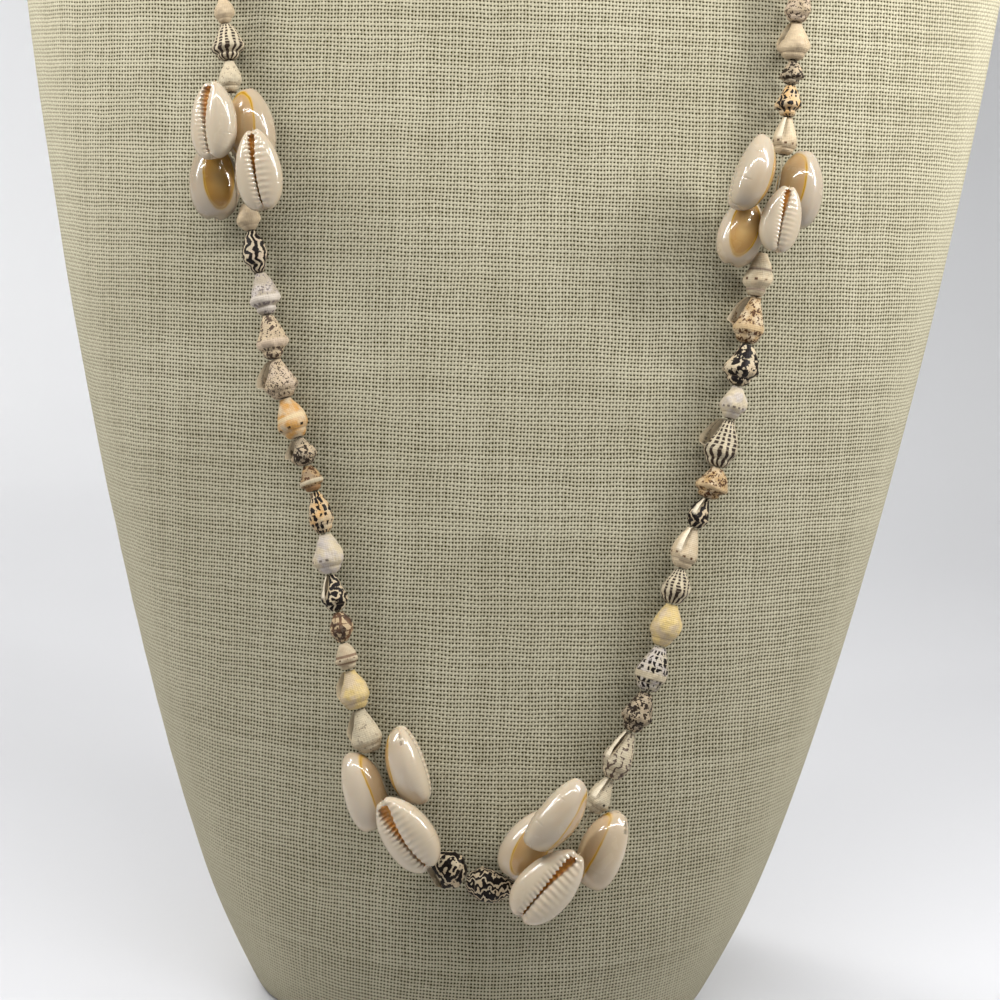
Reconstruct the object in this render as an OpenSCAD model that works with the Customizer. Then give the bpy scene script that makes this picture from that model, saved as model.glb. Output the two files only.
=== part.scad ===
// Cowrie shell necklace on a plain linen neck bust.
// Fifteen cowries in four clusters and strings of small spired shells are threaded on one closed loop.
// Millimetres. +Z is up, +X is the viewer's right and the chest faces -Y.
// The origin is the middle of the bust's flat base.

/* [Bust] */
// Number of flats round the bust
bust_sides = 48; // [32:4:60]
// Rings between two rows of the bust's section table
rings_per_row = 2; // [1:1:3]
// Squareness of the bust's back, where 2 is an ellipse
back_power = 2.6; // [2:0.1:3]

/* [Cowries] */
// Width of a cowrie for each millimetre of its length
cowrie_width = 0.66; // [0.6:0.01:0.7]
// Height of a cowrie for each millimetre of its length
cowrie_height = 0.47; // [0.42:0.01:0.5]
// Width of the slit in a cowrie's base
slit_width = 1.4; // [0.8:0.1:1.8]
// Depth of the slit below the lips
slit_depth = 1.7; // [0.8:0.1:2.2]
// Rings along a cowrie
cowrie_rings = 11; // [9:2:15]

/* [Small shells] */
// Gap between one small shell and the next along the thread on the chest
shell_gap = 0.4; // [0.3:0.1:0.6]
// Gap between the two front shells, where the thread bends most
front_gap = 0.9; // [0.7:0.1:1.2]
// Gap between the small shells over the shoulders and the nape
nape_gap = 0.6; // [0.5:0.1:1]
// Radius of the hole drilled through each small shell
drill_r = 0.7; // [0.6:0.05:0.8]
// Thickness of a shell's two ends round the hole
end_wall = 0.3; // [0.2:0.05:0.5]
// Radius of the aperture for each millimetre of a shell's width
aperture_r = 0.14; // [0.1:0.01:0.18]

/* [Thread] */
// Diameter of the thread
thread_d = 0.8; // [0.5:0.1:0.9]
// Height of the thread above the linen
strand_lift = 4.8; // [4.8:0.1:6]
// How much further the thread stands off the linen in the middle of a cluster
cluster_rise = 3; // [0:0.5:5]
// Radius of the channel drilled through each cowrie that the thread runs through
channel_r = 0.7; // [0.6:0.05:0.9]
// Radius of the hole through the knot
knot_hole_r = 0.6; // [0.6:0.05:0.8]

/* [Hidden] */
cowrie_sides = 18;
thread_sides = 6;
chest_lean = 12;
chest_normal = [0, -cos(chest_lean), sin(chest_lean)];

// Cross-sections of the bust from base to neck. Columns: height, half width, front, side, back.
// Front, side and back are the Y of the middle of the chest, of the widest point and of the back.
SECTIONS = [
    [0, 58.5, -70, -33, 30],
    [25, 69.5, -72, -36, 35],
    [50, 79, -68, -32, 38],
    [76, 87.5, -62.8, -26, 41],
    [101, 95, -57.5, -19.5, 43],
    [127, 102, -52, -13, 45],
    [152, 108, -46.7, -7.5, 47],
    [178, 114, -41.2, -1.5, 49],
    [203, 119, -35.8, 4.2, 51],
    [229, 124, -30.3, 9.7, 53],
    [254, 128, -25, 14.5, 54],
    [275, 130, -21, 17, 55],
    [292, 125, -18, 19, 56],
    [304, 111, -16, 20, 56.5],
    [313, 92, -15, 21, 56.5],
    [322, 74, -15.5, 21, 56],
    [334, 61, -17, 20, 55],
    [352, 54.5, -18.5, 18.5, 54],
    [376, 53, -19, 17.5, 53],
    [400, 53, -19.5, 17, 52]
];

// Route of the thread over the chest. Columns: distance to the viewer's right, height.
CHEST_ROUTE = [
    [-76, 286], [-72, 269], [-70, 252], [-68, 240], [-66, 222], [-64.5, 211], [-61.5, 199],
    [-57, 181], [-53, 162], [-46.5, 144.5], [-41, 128], [-37.5, 111], [-34, 95.5], [-28.5, 78],
    [-22.3, 63.7], [-15.5, 52], [-8.7, 46.3], [1.9, 42.6], [10.5, 44.5], [18.2, 51.5], [27.6, 65],
    [36, 85], [42, 105.5], [46, 123.7], [52, 139.2], [56.5, 159], [60.5, 178.6], [62, 192],
    [65.2, 208.6], [67.4, 223], [68.3, 238], [69.2, 254], [71, 270], [75, 286]
];

// Route over one shoulder to the nape. Columns: angle round the bust behind its side, height.
NAPE_ROUTE = [[-37, 306], [0, 316.5], [28, 323], [58, 327], [90, 328]];

// Stretches of the thread that carry cowries. Columns: start, end, measured along the thread.
CLUSTERS = [[219.5, 245.5], [384.5, 411.5], [436.5, 461.5], [606, 629.5]];

// Shells of each string in the thread's order, which runs down the left and up the right. Columns:
// length, width, and the way the aperture faces, where 0 is the viewer's left on a shell whose
// narrow end points up, 90 the viewer and -90 the linen.
TOP_LEFT = [[6.5, 5.6, -90], [6, 5.2, -90], [8.6, 8.2, -90], [7.5, 6, -90]];
LEFT = [
    [6.6, 6, 90], [10.1, 6.3, -90], [10.1, 7.4, -90], [10.6, 7.5, -90], [9.5, 8.5, 20],
    [9.8, 7.8, -90], [6.6, 6.8, 10], [6.3, 6, -90], [10, 6.3, -90], [9.6, 7.7, -90],
    [8.8, 6.4, 90], [7.3, 6, -90], [6.4, 6, -90], [9.4, 8, 20], [10.5, 8, 10]
];
FRONT_LEFT = [[10.2, 9, 30]];
FRONT_RIGHT = [[11.8, 8.8, -90]];
RIGHT = [
    [8.9, 6.2, 90], [12, 7.4, 90], [10.1, 7.5, -90], [11, 8.2, -90], [10.4, 7.8, -90],
    [8.4, 7.4, -90], [10.1, 7, 90], [7.4, 5.5, 90], [7.7, 8.2, -90], [11.7, 8.5, 10],
    [8, 6.6, -90], [10.1, 8.6, -90], [11.3, 8, 20], [10.6, 7.3, -90]
];
TOP_RIGHT = [[9, 6.3, 90], [7.5, 6.5, -90], [5.6, 5.9, -90], [8.8, 8, 90], [8, 6.8, -90]];
// Shells of the stretch that the neck hides, repeated as often as they fit on each side
NAPE = [[9.6, 7.2, -90], [8.2, 6.4, -90], [10.4, 8, -90], [7, 5.8, -90]];
nape_repeats = 5;

// Outline of a small shell from its low spire to its narrow open end, with a step at each whorl.
// Columns: share of length, share of radius.
WHORLS = [
    [0, 0.3], [0.06, 0.48], [0.09, 0.5], [0.12, 0.68], [0.2, 0.78], [0.23, 0.86], [0.34, 1],
    [0.45, 0.98], [0.62, 0.82], [0.8, 0.57], [0.93, 0.4], [1, 0.28]
];

// Cowries. Columns: name, place to the viewer's right, height, stand-off of the middle from the
// linen, lean of the top to the left, tip of the top off the linen, roll of the back to the right,
// length.
COWRIES = [
    ["cowrie_upper_left_1", -67.6, 220.5, 15.1, 3, 0, 141, 19.1],
    ["cowrie_upper_left_2", -61.3, 220.6, 4.7, 12, 2, -12, 20],
    ["cowrie_upper_left_3", -70.4, 207.6, 4.7, 8, -1, 26, 20],
    ["cowrie_upper_left_4", -56.6, 209.3, 14.5, 11, 0, 188, 20.2],
    ["cowrie_lower_left_1", -29, 64.3, 5.8, 19, -1, 51, 20.2],
    ["cowrie_lower_left_2", -17.2, 71.7, 6.6, 23, 0, -121, 20],
    ["cowrie_lower_left_3", -17.2, 56.3, 12.9, 37, 2, 165, 20.6],
    ["cowrie_lower_right_1", 15.5, 63, 15.6, -40, 0, 75, 20.6],
    ["cowrie_lower_right_2", 28.9, 52.4, 5.9, -21, 0, -46, 20.5],
    ["cowrie_lower_right_3", 14.6, 46.1, 16, -44, -1, 179, 21.5],
    ["cowrie_lower_right_4", 11.2, 53.7, 4.7, -34, -1, 3, 19.5],
    ["cowrie_upper_right_1", 56.6, 213.2, 11.8, -24, -4, 100, 19.8],
    ["cowrie_upper_right_2", 71.2, 210.1, 5.1, -8, 1, -35, 20],
    ["cowrie_upper_right_3", 64, 202, 13.7, -14, -2, 181, 16.8],
    ["cowrie_upper_right_4", 57.1, 199.6, 4.8, -17, -5, -5, 18]
];

// Smooth curve through p1 and p2, where w runs from 0 to 1 between them
function through(p0, p1, p2, p3, w) =
    (2 * p1 + (p2 - p0) * w + (2 * p0 - 5 * p1 + 4 * p2 - p3) * w * w
    + (3 * p1 - p0 - 3 * p2 + p3) * w * w * w) / 2;

// Slope of column c between the rows round row k
function row_slope(rows, c, k) =
    let (a = rows[max(k - 1, 0)], b = rows[min(k + 1, len(rows) - 1)])
    (b[c] - a[c]) / (b[0] - a[0]);

// Last row whose first column is at or below z
function row_below(rows, z) = max([for (k = [0:len(rows) - 2]) if (k == 0 || rows[k][0] <= z) k]);

// Column c of the rows at z, on a curve through the rows
function column_at(rows, c, z) =
    let (k = row_below(rows, z), h = rows[k + 1][0] - rows[k][0], w = (z - rows[k][0]) / h)
    (2 * pow(w, 3) - 3 * w * w + 1) * rows[k][c] + (pow(w, 3) - 2 * w * w + w) * h * row_slope(rows, c, k)
    + (3 * w * w - 2 * pow(w, 3)) * rows[k + 1][c] + (pow(w, 3) - w * w) * h * row_slope(rows, c, k + 1);

// One coordinate of a squared ellipse
function squared(v, power) = sign(v) * pow(abs(v), 2 / power);

// Point of the bust's surface at angle a and height z. The chest is at -90.
function on_bust(a, z) =
    let (
        wide = column_at(SECTIONS, 1, z),
        front = column_at(SECTIONS, 2, z),
        side = column_at(SECTIONS, 3, z),
        back = column_at(SECTIONS, 4, z),
        power = sin(a) < 0 ? 2 : back_power,
        deep = sin(a) < 0 ? side - front : back - side
    )
    [wide * squared(cos(a), power), side + deep * squared(sin(a), power), z];

function unit(v) = v / norm(v);

// Outward direction of the bust's surface at angle a and height z
function outward(a, z) =
    unit(cross(on_bust(a + 0.5, z) - on_bust(a - 0.5, z), on_bust(a, z + 0.5) - on_bust(a, z - 0.5)));

// Angle of the chest point that lies x to the viewer's right at height z
function chest_angle(x, z) = -acos(x / column_at(SECTIONS, 1, z));

// Whole route of the thread as angles and heights, from the nape over the left shoulder and back
ROUTE = concat(
    [for (k = [len(NAPE_ROUTE) - 1:-1:0]) [-180 - NAPE_ROUTE[k][0], NAPE_ROUTE[k][1]]],
    [for (r = CHEST_ROUTE) [chest_angle(r[0], r[1]), r[1]]],
    NAPE_ROUTE
);
steps_per_row = 12;

function route_row(k) = ROUTE[min(max(k, 0), len(ROUTE) - 1)];

function strand_point(u) =
    let (
        k = min(floor(u), len(ROUTE) - 2),
        r = through(route_row(k - 1), route_row(k), route_row(k + 1), route_row(k + 2), u - k)
    )
    on_bust(r[0], r[1]) + strand_lift * outward(r[0], r[1]);

STRAND = [for (k = [0:(len(ROUTE) - 1) * steps_per_row]) strand_point(k / steps_per_row)];
ALONG = [
    for (k = 0, s = 0; k < len(STRAND); s = k + 1 < len(STRAND) ? s + norm(STRAND[k + 1] - STRAND[k]) : s,
    k = k + 1) s
];
loop_length = ALONG[len(ALONG) - 1];

// Columns for lookup, which reads one coordinate of the strand at a distance along it
STRAND_X = [for (k = [0:len(STRAND) - 1]) [ALONG[k], STRAND[k][0]]];
STRAND_Y = [for (k = [0:len(STRAND) - 1]) [ALONG[k], STRAND[k][1]]];
STRAND_Z = [for (k = [0:len(STRAND) - 1]) [ALONG[k], STRAND[k][2]]];
function strand_at(s) = [lookup(s, STRAND_X), lookup(s, STRAND_Y), lookup(s, STRAND_Z)];

// Length of the first n shells of a string with the gap after each
function run(shells, n, gap) = n == 0 ? 0 : run(shells, n - 1, gap) + shells[n - 1][0] + gap;

// Shells of the hidden stretch on one side, and the room that is left at the knot
NAPE_SIDE = [for (k = [0:nape_repeats * len(NAPE) - 1]) NAPE[k % len(NAPE)]];
knot_half = 1.6;
function fitting(room) = max([for (k = [0:len(NAPE_SIDE)]) if (run(NAPE_SIDE, k, nape_gap) <= room) k]);
start_top_left = 188.5;
start_front_left = 412.4;
start_front_right = start_front_left + run(FRONT_LEFT, 1, front_gap);
start_top_right = 629.7;
end_top_right = start_top_right + run(TOP_RIGHT, len(TOP_RIGHT), shell_gap);
nape_left_count = fitting(start_top_left - knot_half - nape_gap);
nape_right_count = fitting(loop_length - end_top_right - knot_half - nape_gap);
NAPE_LEFT = [for (k = [0:nape_left_count - 1]) NAPE_SIDE[k]];
NAPE_RIGHT = [for (k = [0:nape_right_count - 1]) NAPE_SIDE[k]];
start_nape_left = start_top_left - run(NAPE_LEFT, nape_left_count, nape_gap);

// Every string of the necklace. Columns: start along the thread, way the narrow ends point, shells,
// gap.
STRINGS = [
    [start_nape_left, -1, NAPE_LEFT, nape_gap],
    [start_top_left, -1, TOP_LEFT, shell_gap],
    [246, -1, LEFT, shell_gap],
    [start_front_left, -1, FRONT_LEFT, front_gap],
    [start_front_right, 1, FRONT_RIGHT, shell_gap],
    [462, 1, RIGHT, shell_gap],
    [start_top_right, 1, TOP_RIGHT, shell_gap],
    [end_top_right, 1, NAPE_RIGHT, nape_gap]
];

// How far the thread is raised off its route inside a cluster
function rise(s) = max([
    for (c = CLUSTERS) s > c[0] && s < c[1] ? cluster_rise * sin(180 * (s - c[0]) / (c[1] - c[0])) : 0
]);
function thread_at(s) = strand_at(s) + rise(s) * chest_normal;

// Distances along the thread where it has a ring: before and after each shell, and in the clusters
THREAD_STOPS = [
    for (k = [0:len(STRINGS) - 1])
        let (
            g = STRINGS[k],
            count = len(g[2]),
            half = g[3] / 2,
            last = g[0] + run(g[2], count, g[3]) - half,
            next = k + 1 < len(STRINGS) ? STRINGS[k + 1][0] - half : last
        )
        each concat(
            [for (n = [0:count - 1]) g[0] + run(g[2], n, g[3]) - half],
            [last],
            next - last > 10 ? [for (w = [1:5]) last + (next - last) * w / 6] : []
        )
];

// Faces of a skin over rings of n points each. With poles, one point closes each end. Without, the
// last ring joins the first.
function skin_faces(rings, n, poles) = concat(
    [for (r = [0:rings - (poles ? 2 : 1)], k = [0:n - 1])
        let (m = (k + 1) % n, q = (r + 1) % rings)
        each [[r * n + k, q * n + k, q * n + m], [r * n + k, q * n + m, r * n + m]]],
    poles ? [for (k = [0:n - 1]) [rings * n, k, (k + 1) % n]] : [],
    poles ? [for (k = [0:n - 1]) [rings * n + 1, (rings - 1) * n + (k + 1) % n, (rings - 1) * n + k]] : []
);

// Ring of n points round the point p of a tube of radius r that runs along d
function ring(p, d, r, n) =
    let (side = unit(cross(d, chest_normal)), over = cross(d, side))
    [for (k = [0:n - 1]) p + r * (cos(360 * k / n) * side + sin(360 * k / n) * over)];

STOPS = concat([0], THREAD_STOPS);
THREAD_POINTS = [for (s = STOPS) thread_at(s)];

// Ring of radius r round stop k of the closed thread
function thread_ring(k, r) =
    let (count = len(THREAD_POINTS), next = THREAD_POINTS[(k + 1) % count])
    ring(THREAD_POINTS[k], unit(next - THREAD_POINTS[(k + count - 1) % count]), r, thread_sides);

// Plain linen-covered bust, closed and flat at the base and the neck
module neck_bust() {
    rows = len(SECTIONS) - 1;
    levels = [
        for (k = [0:rows * rings_per_row])
            let (j = min(floor(k / rings_per_row), rows - 1), w = k / rings_per_row - j)
            SECTIONS[j][0] * (1 - w) + SECTIONS[j + 1][0] * w
    ];
    top = levels[len(levels) - 1];
    skin_points = [
        for (z = levels, k = [0:bust_sides - 1]) on_bust(360 * k / bust_sides, z)
    ];
    poles = [[0, 0, 0], [0, column_at(SECTIONS, 3, top), top]];
    color("#c1ba9f")
        polyhedron(concat(skin_points, poles), skin_faces(len(levels), bust_sides, true));
}

// Thread as one closed loop
module thread() {
    color("#d9cfae")
        polyhedron(
            [for (k = [0:len(THREAD_POINTS) - 1]) each thread_ring(k, thread_d / 2)],
            skin_faces(len(THREAD_POINTS), thread_sides, false)
        );
}

// Solid of the channel along the thread that is drilled through the cowries of the cluster c
module channel(c) {
    spare = 10;
    picks = [for (k = [0:len(STOPS) - 1]) if (STOPS[k] > c[0] - spare && STOPS[k] < c[1] + spare) k];
    ends = [THREAD_POINTS[picks[0]], THREAD_POINTS[picks[len(picks) - 1]]];
    polyhedron(
        concat([for (k = picks) each thread_ring(k, channel_r)], ends),
        skin_faces(len(picks), thread_sides, true)
    );
}

// Sets its children at the point p, with their own X, Y and Z along the three directions
module set_at(p, x, y, z) {
    multmatrix([[x[0], y[0], z[0], p[0]], [x[1], y[1], z[1], p[1]], [x[2], y[2], z[2], p[2]], [0, 0, 0, 1]])
        children();
}

// Sets its children at the point p with their Z along d and their Y as near to out as it goes
module along(p, d, out) {
    side = unit(cross(out, d));
    set_at(p, side, cross(d, side), d)
        children();
}

// Knot that closes the thread at the nape, drilled for the thread
module thread_knot() {
    half = knot_half;
    color("#d9cfae")
        along(strand_at(0), unit(strand_at(5) - strand_at(loop_length - 5)), [0, 1, 0])
            rotate_extrude($fn = 16)
                polygon([
                    [knot_hole_r, -half],
                    [half * 0.7, -half],
                    [half, -half * 0.4],
                    [half, half * 0.4],
                    [half * 0.7, half],
                    [knot_hole_r, half]
                ]);
}

// One small shell from its low spire at the origin to its narrow open end up +Z. It is drilled from
// end to end, and its aperture is a slanted groove that runs out at the narrow end.
module small_shell(long, wide, faces) {
    r = wide / 2;
    outline = [for (w = WHORLS) [max(w[1] * r, drill_r + end_wall), w[0] * long]];
    low = [r * 0.92, long * 0.36];
    high = [r * 0.46, long * 1.04];
    difference() {
        rotate_extrude($fn = 24)
            polygon(concat([[drill_r, 0]], outline, [[drill_r, long]]));
        rotate([0, 0, faces])
            translate([low[0], 0, low[1]])
                rotate([0, -atan2(low[0] - high[0], high[1] - low[1]), 0])
                    cylinder(r = wide * aperture_r, h = norm(high - low), $fn = 16);
    }
}

// String of small shells, each set straight between two points of the strand
module shell_string(row, colour) {
    shells = row[2];
    color(colour)
        for (k = [0:len(shells) - 1]) {
            s = row[0] + run(shells, k, row[3]);
            a = strand_at(s);
            b = strand_at(s + shells[k][0]);
            spire = row[1] > 0 ? a : b;
            narrow = row[1] > 0 ? b : a;
            middle = (a + b) / 2;
            out = unit([middle[0], middle[1] - 15, 0]);
            along(spire, unit(narrow - spire), middle[1] > 15 ? out : chest_normal)
                small_shell(norm(b - a), shells[k][1], shells[k][2]);
        }
}

// Ring of a cowrie at share s of its half length. Its back is up and its slit is below.
function cowrie_ring(s, long) =
    let (
        taper = pow(1 - s * s, 0.47),
        half = long * cowrie_width / 2 * taper * (1 - 0.1 * s),
        back = long * cowrie_height * 0.66 * taper * (1 - 0.1 * s),
        base = long * cowrie_height * 0.34 * pow(taper, 0.8),
        open = slit_width / 2 * taper,
        slit = half * 0.08,
        deep = min(slit_depth, base) * taper,
        floor_z = -base + deep,
        domes = 10
    )
    [
        for (k = [0:domes]) [half * cos(180 * k / domes), s * long / 2, back * pow(sin(180 * k / domes), 0.9)],
        [-half * 0.84, s * long / 2, -base * 0.72],
        [-half * 0.45, s * long / 2, -base],
        [slit - open, s * long / 2, -base],
        [slit - open * 0.5, s * long / 2, floor_z],
        [slit + open * 0.5, s * long / 2, floor_z],
        [slit + open, s * long / 2, -base],
        [half * 0.8, s * long / 2, -base * 0.76]
    ];

// Cowrie about its own middle, with its narrow end up +Y and its humped back up +Z
module cowrie(long) {
    span = 84;
    rings = [for (k = [0:cowrie_rings - 1]) cowrie_ring(sin(span * (1 - 2 * k / (cowrie_rings - 1))), long)];
    ends = [[0, long / 2, 0], [0, -long / 2, 0]];
    polyhedron(
        concat([for (r = rings) each r], ends),
        skin_faces(cowrie_rings, cowrie_sides, true)
    );
}

// Cluster that the cowrie of row c belongs to
function cluster_of(c) = c[2] > 140 ? CLUSTERS[c[1] < 0 ? 0 : 3] : CLUSTERS[c[1] < 0 ? 1 : 2];

// Cowrie of one row of the table in its place on the chest, drilled where the thread meets it
module cowrie_at(c) {
    a = chest_angle(c[1], c[2]);
    out = outward(a, c[2]);
    right = unit(cross([0, 0, 1], out));
    color("#ecdcc8")
        difference() {
            set_at(on_bust(a, c[2]) + c[3] * out, right, cross(out, right), out)
                rotate([c[5], 0, c[4]])
                    rotate([0, c[6], 0])
                        cowrie(c[7]);
            channel(cluster_of(c));
        }
}

neck_bust();
thread();
thread_knot();
shell_string(STRINGS[1], "#e3d2c0");  // shells_top_left
shell_string(STRINGS[2], "#cdbfae");  // shells_left
for (k = [3, 4]) shell_string(STRINGS[k], "#5a4a42");  // shells_front
shell_string(STRINGS[5], "#cdbfae");  // shells_right
shell_string(STRINGS[6], "#e3d2c0");  // shells_top_right
shell_string(STRINGS[0], "#d8cbb8");  // shells_nape_left
shell_string(STRINGS[7], "#d8cbb8");  // shells_nape_right
for (c = COWRIES) cowrie_at(c);
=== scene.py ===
"""Cowrie shell necklace on a linen neck bust: looks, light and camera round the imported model."""
import logging
import math
from dataclasses import dataclass, field
from enum import Enum
from itertools import combinations

import bpy
import numpy as np
from mathutils import Matrix, Vector


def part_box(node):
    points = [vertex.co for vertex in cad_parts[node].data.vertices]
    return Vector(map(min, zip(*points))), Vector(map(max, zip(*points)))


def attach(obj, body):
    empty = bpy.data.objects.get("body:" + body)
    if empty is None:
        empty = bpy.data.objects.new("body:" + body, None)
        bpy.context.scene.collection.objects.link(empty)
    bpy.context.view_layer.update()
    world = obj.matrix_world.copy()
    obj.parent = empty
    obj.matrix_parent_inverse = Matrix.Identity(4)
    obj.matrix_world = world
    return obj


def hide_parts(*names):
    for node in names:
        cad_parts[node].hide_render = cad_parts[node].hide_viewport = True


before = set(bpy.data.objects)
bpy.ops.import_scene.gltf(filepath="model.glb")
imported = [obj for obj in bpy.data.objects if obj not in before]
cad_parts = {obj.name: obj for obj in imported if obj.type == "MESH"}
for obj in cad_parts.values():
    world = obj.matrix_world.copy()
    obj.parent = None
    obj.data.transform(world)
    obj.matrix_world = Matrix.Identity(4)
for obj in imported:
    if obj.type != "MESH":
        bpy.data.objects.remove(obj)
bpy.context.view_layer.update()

MM = 0.001
log = logging.getLogger("necklace")

Colour = tuple[float, float, float]
Span = tuple[float, float]
Socket = bpy.types.NodeSocket

# Parts of a noise's values, and a range that runs down
MIDDLE: Span = (0.35, 0.65)
MOST: Span = (0.3, 0.7)
FALLING: Span = (1.0, 0.0)


def select_only(piece: bpy.types.Object) -> None:
    """Deselects everything, then selects the piece and makes it active.

    Args:
        piece: The object that the next operator acts on.
    """
    if bpy.context.mode != "OBJECT":
        bpy.ops.object.mode_set(mode="OBJECT")
    bpy.ops.object.select_all(action="DESELECT")
    piece.select_set(True)
    bpy.context.view_layer.objects.active = piece


def edit_all(piece: bpy.types.Object) -> None:
    """Enters edit mode on the piece with its whole mesh selected.

    Args:
        piece: The object to edit.
    """
    select_only(piece)
    bpy.ops.object.mode_set(mode="EDIT")
    bpy.ops.mesh.select_all(action="SELECT")


def leave_edit() -> None:
    """Returns to object mode."""
    bpy.ops.object.mode_set(mode="OBJECT")


def points_of(mesh: bpy.types.Mesh) -> np.ndarray:
    """Reads the places of a mesh's vertices as rows of three numbers.

    Args:
        mesh: The mesh to read.

    Returns:
        One row for each vertex.
    """
    flat = np.empty(len(mesh.vertices) * 3)
    mesh.vertices.foreach_get("co", flat)
    return flat.reshape(-1, 3)


def move_points(mesh: bpy.types.Mesh, points: np.ndarray) -> None:
    """Writes new places into a mesh's vertices."""
    mesh.vertices.foreach_set("co", np.asarray(points, dtype=float).ravel())
    mesh.update()


def merged_copy(node: str, name: str) -> bpy.types.Object:
    """Copies a CAD node's mesh into a new object and merges its doubles.

    Args:
        node: Name of the CAD node.
        name: Name of the new object.

    Returns:
        The new object, which carries no material yet.
    """
    piece = bpy.data.objects.new(name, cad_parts[node].data.copy())
    bpy.context.scene.collection.objects.link(piece)
    piece.data.materials.clear()
    edit_all(piece)
    bpy.ops.mesh.remove_doubles(threshold=0.002 * MM)
    leave_edit()
    return piece


def discard(piece: bpy.types.Object) -> None:
    """Deletes an object with its mesh.

    Args:
        piece: The object that is no longer needed.
    """
    mesh = piece.data
    bpy.data.objects.remove(piece)
    bpy.data.meshes.remove(mesh)


def own_copy(model: bpy.types.Object, name: str) -> bpy.types.Object:
    """Copies a model with a mesh of its own and puts the copy in the scene.

    Args:
        model: The object to copy.
        name: The copy's name.

    Returns:
        The copy.
    """
    piece = model.copy()
    piece.data = model.data.copy()
    piece.name = name
    bpy.context.scene.collection.objects.link(piece)
    return piece


def hand_over(piece: bpy.types.Object, node: str) -> None:
    """Puts a finished piece in the place of its CAD node and reports it.

    Args:
        piece: The finished piece.
        node: The CAD node that it stands for.
    """
    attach(piece, "root")
    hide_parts(node)
    log.info("%s, %d faces", piece.name, len(piece.data.polygons))


def node_points(node: str) -> tuple[np.ndarray, np.ndarray]:
    """Reads a CAD node's merged vertices and its edges, and leaves nothing behind.

    Args:
        node: Name of the CAD node.

    Returns:
        The vertex places and the pairs of vertex numbers of the edges.
    """
    piece = merged_copy(node, "measure")
    points = points_of(piece.data)
    pairs = np.empty(len(piece.data.edges) * 2, dtype=int)
    piece.data.edges.foreach_get("vertices", pairs)
    discard(piece)
    return points, pairs.reshape(-1, 2)


def groups_of(count: int, pairs: np.ndarray) -> np.ndarray:
    """Numbers the groups of vertices that edges join.

    Args:
        count: Number of vertices.
        pairs: Pairs of vertex numbers that belong together.

    Returns:
        The group number of each vertex.
    """
    label = np.arange(count)
    while True:
        lowest = label.copy()
        np.minimum.at(lowest, pairs[:, 0], label[pairs[:, 1]])
        np.minimum.at(lowest, pairs[:, 1], label[pairs[:, 0]])
        lowest = lowest[lowest]
        if np.array_equal(lowest, label):
            return np.unique(label, return_inverse=True)[1]
        label = lowest


def smooth_step(low: float, high: float, value: np.ndarray) -> np.ndarray:
    """Rises smoothly from 0 at low to 1 at high."""
    share = np.clip((value - low) / (high - low), 0, 1)
    return share * share * (3 - 2 * share)


def step_at(low: float, high: float, value: float) -> float:
    """Rises smoothly from 0 at low to 1 at high, for one number."""
    return float(smooth_step(low, high, np.array(value)))


def hump(value: np.ndarray, middle: float, spread: float) -> np.ndarray:
    """Rises to 1 at the middle and falls away over the spread on both sides."""
    return np.exp(-(((value - middle) / spread) ** 2))


def unit(vector: np.ndarray) -> np.ndarray:
    """Scales a vector to length 1."""
    return vector / np.linalg.norm(vector)


def unit_rows(vectors: np.ndarray) -> np.ndarray:
    """Scales each row of vectors to length 1."""
    return vectors / np.linalg.norm(vectors, axis=1)[:, None]


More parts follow.
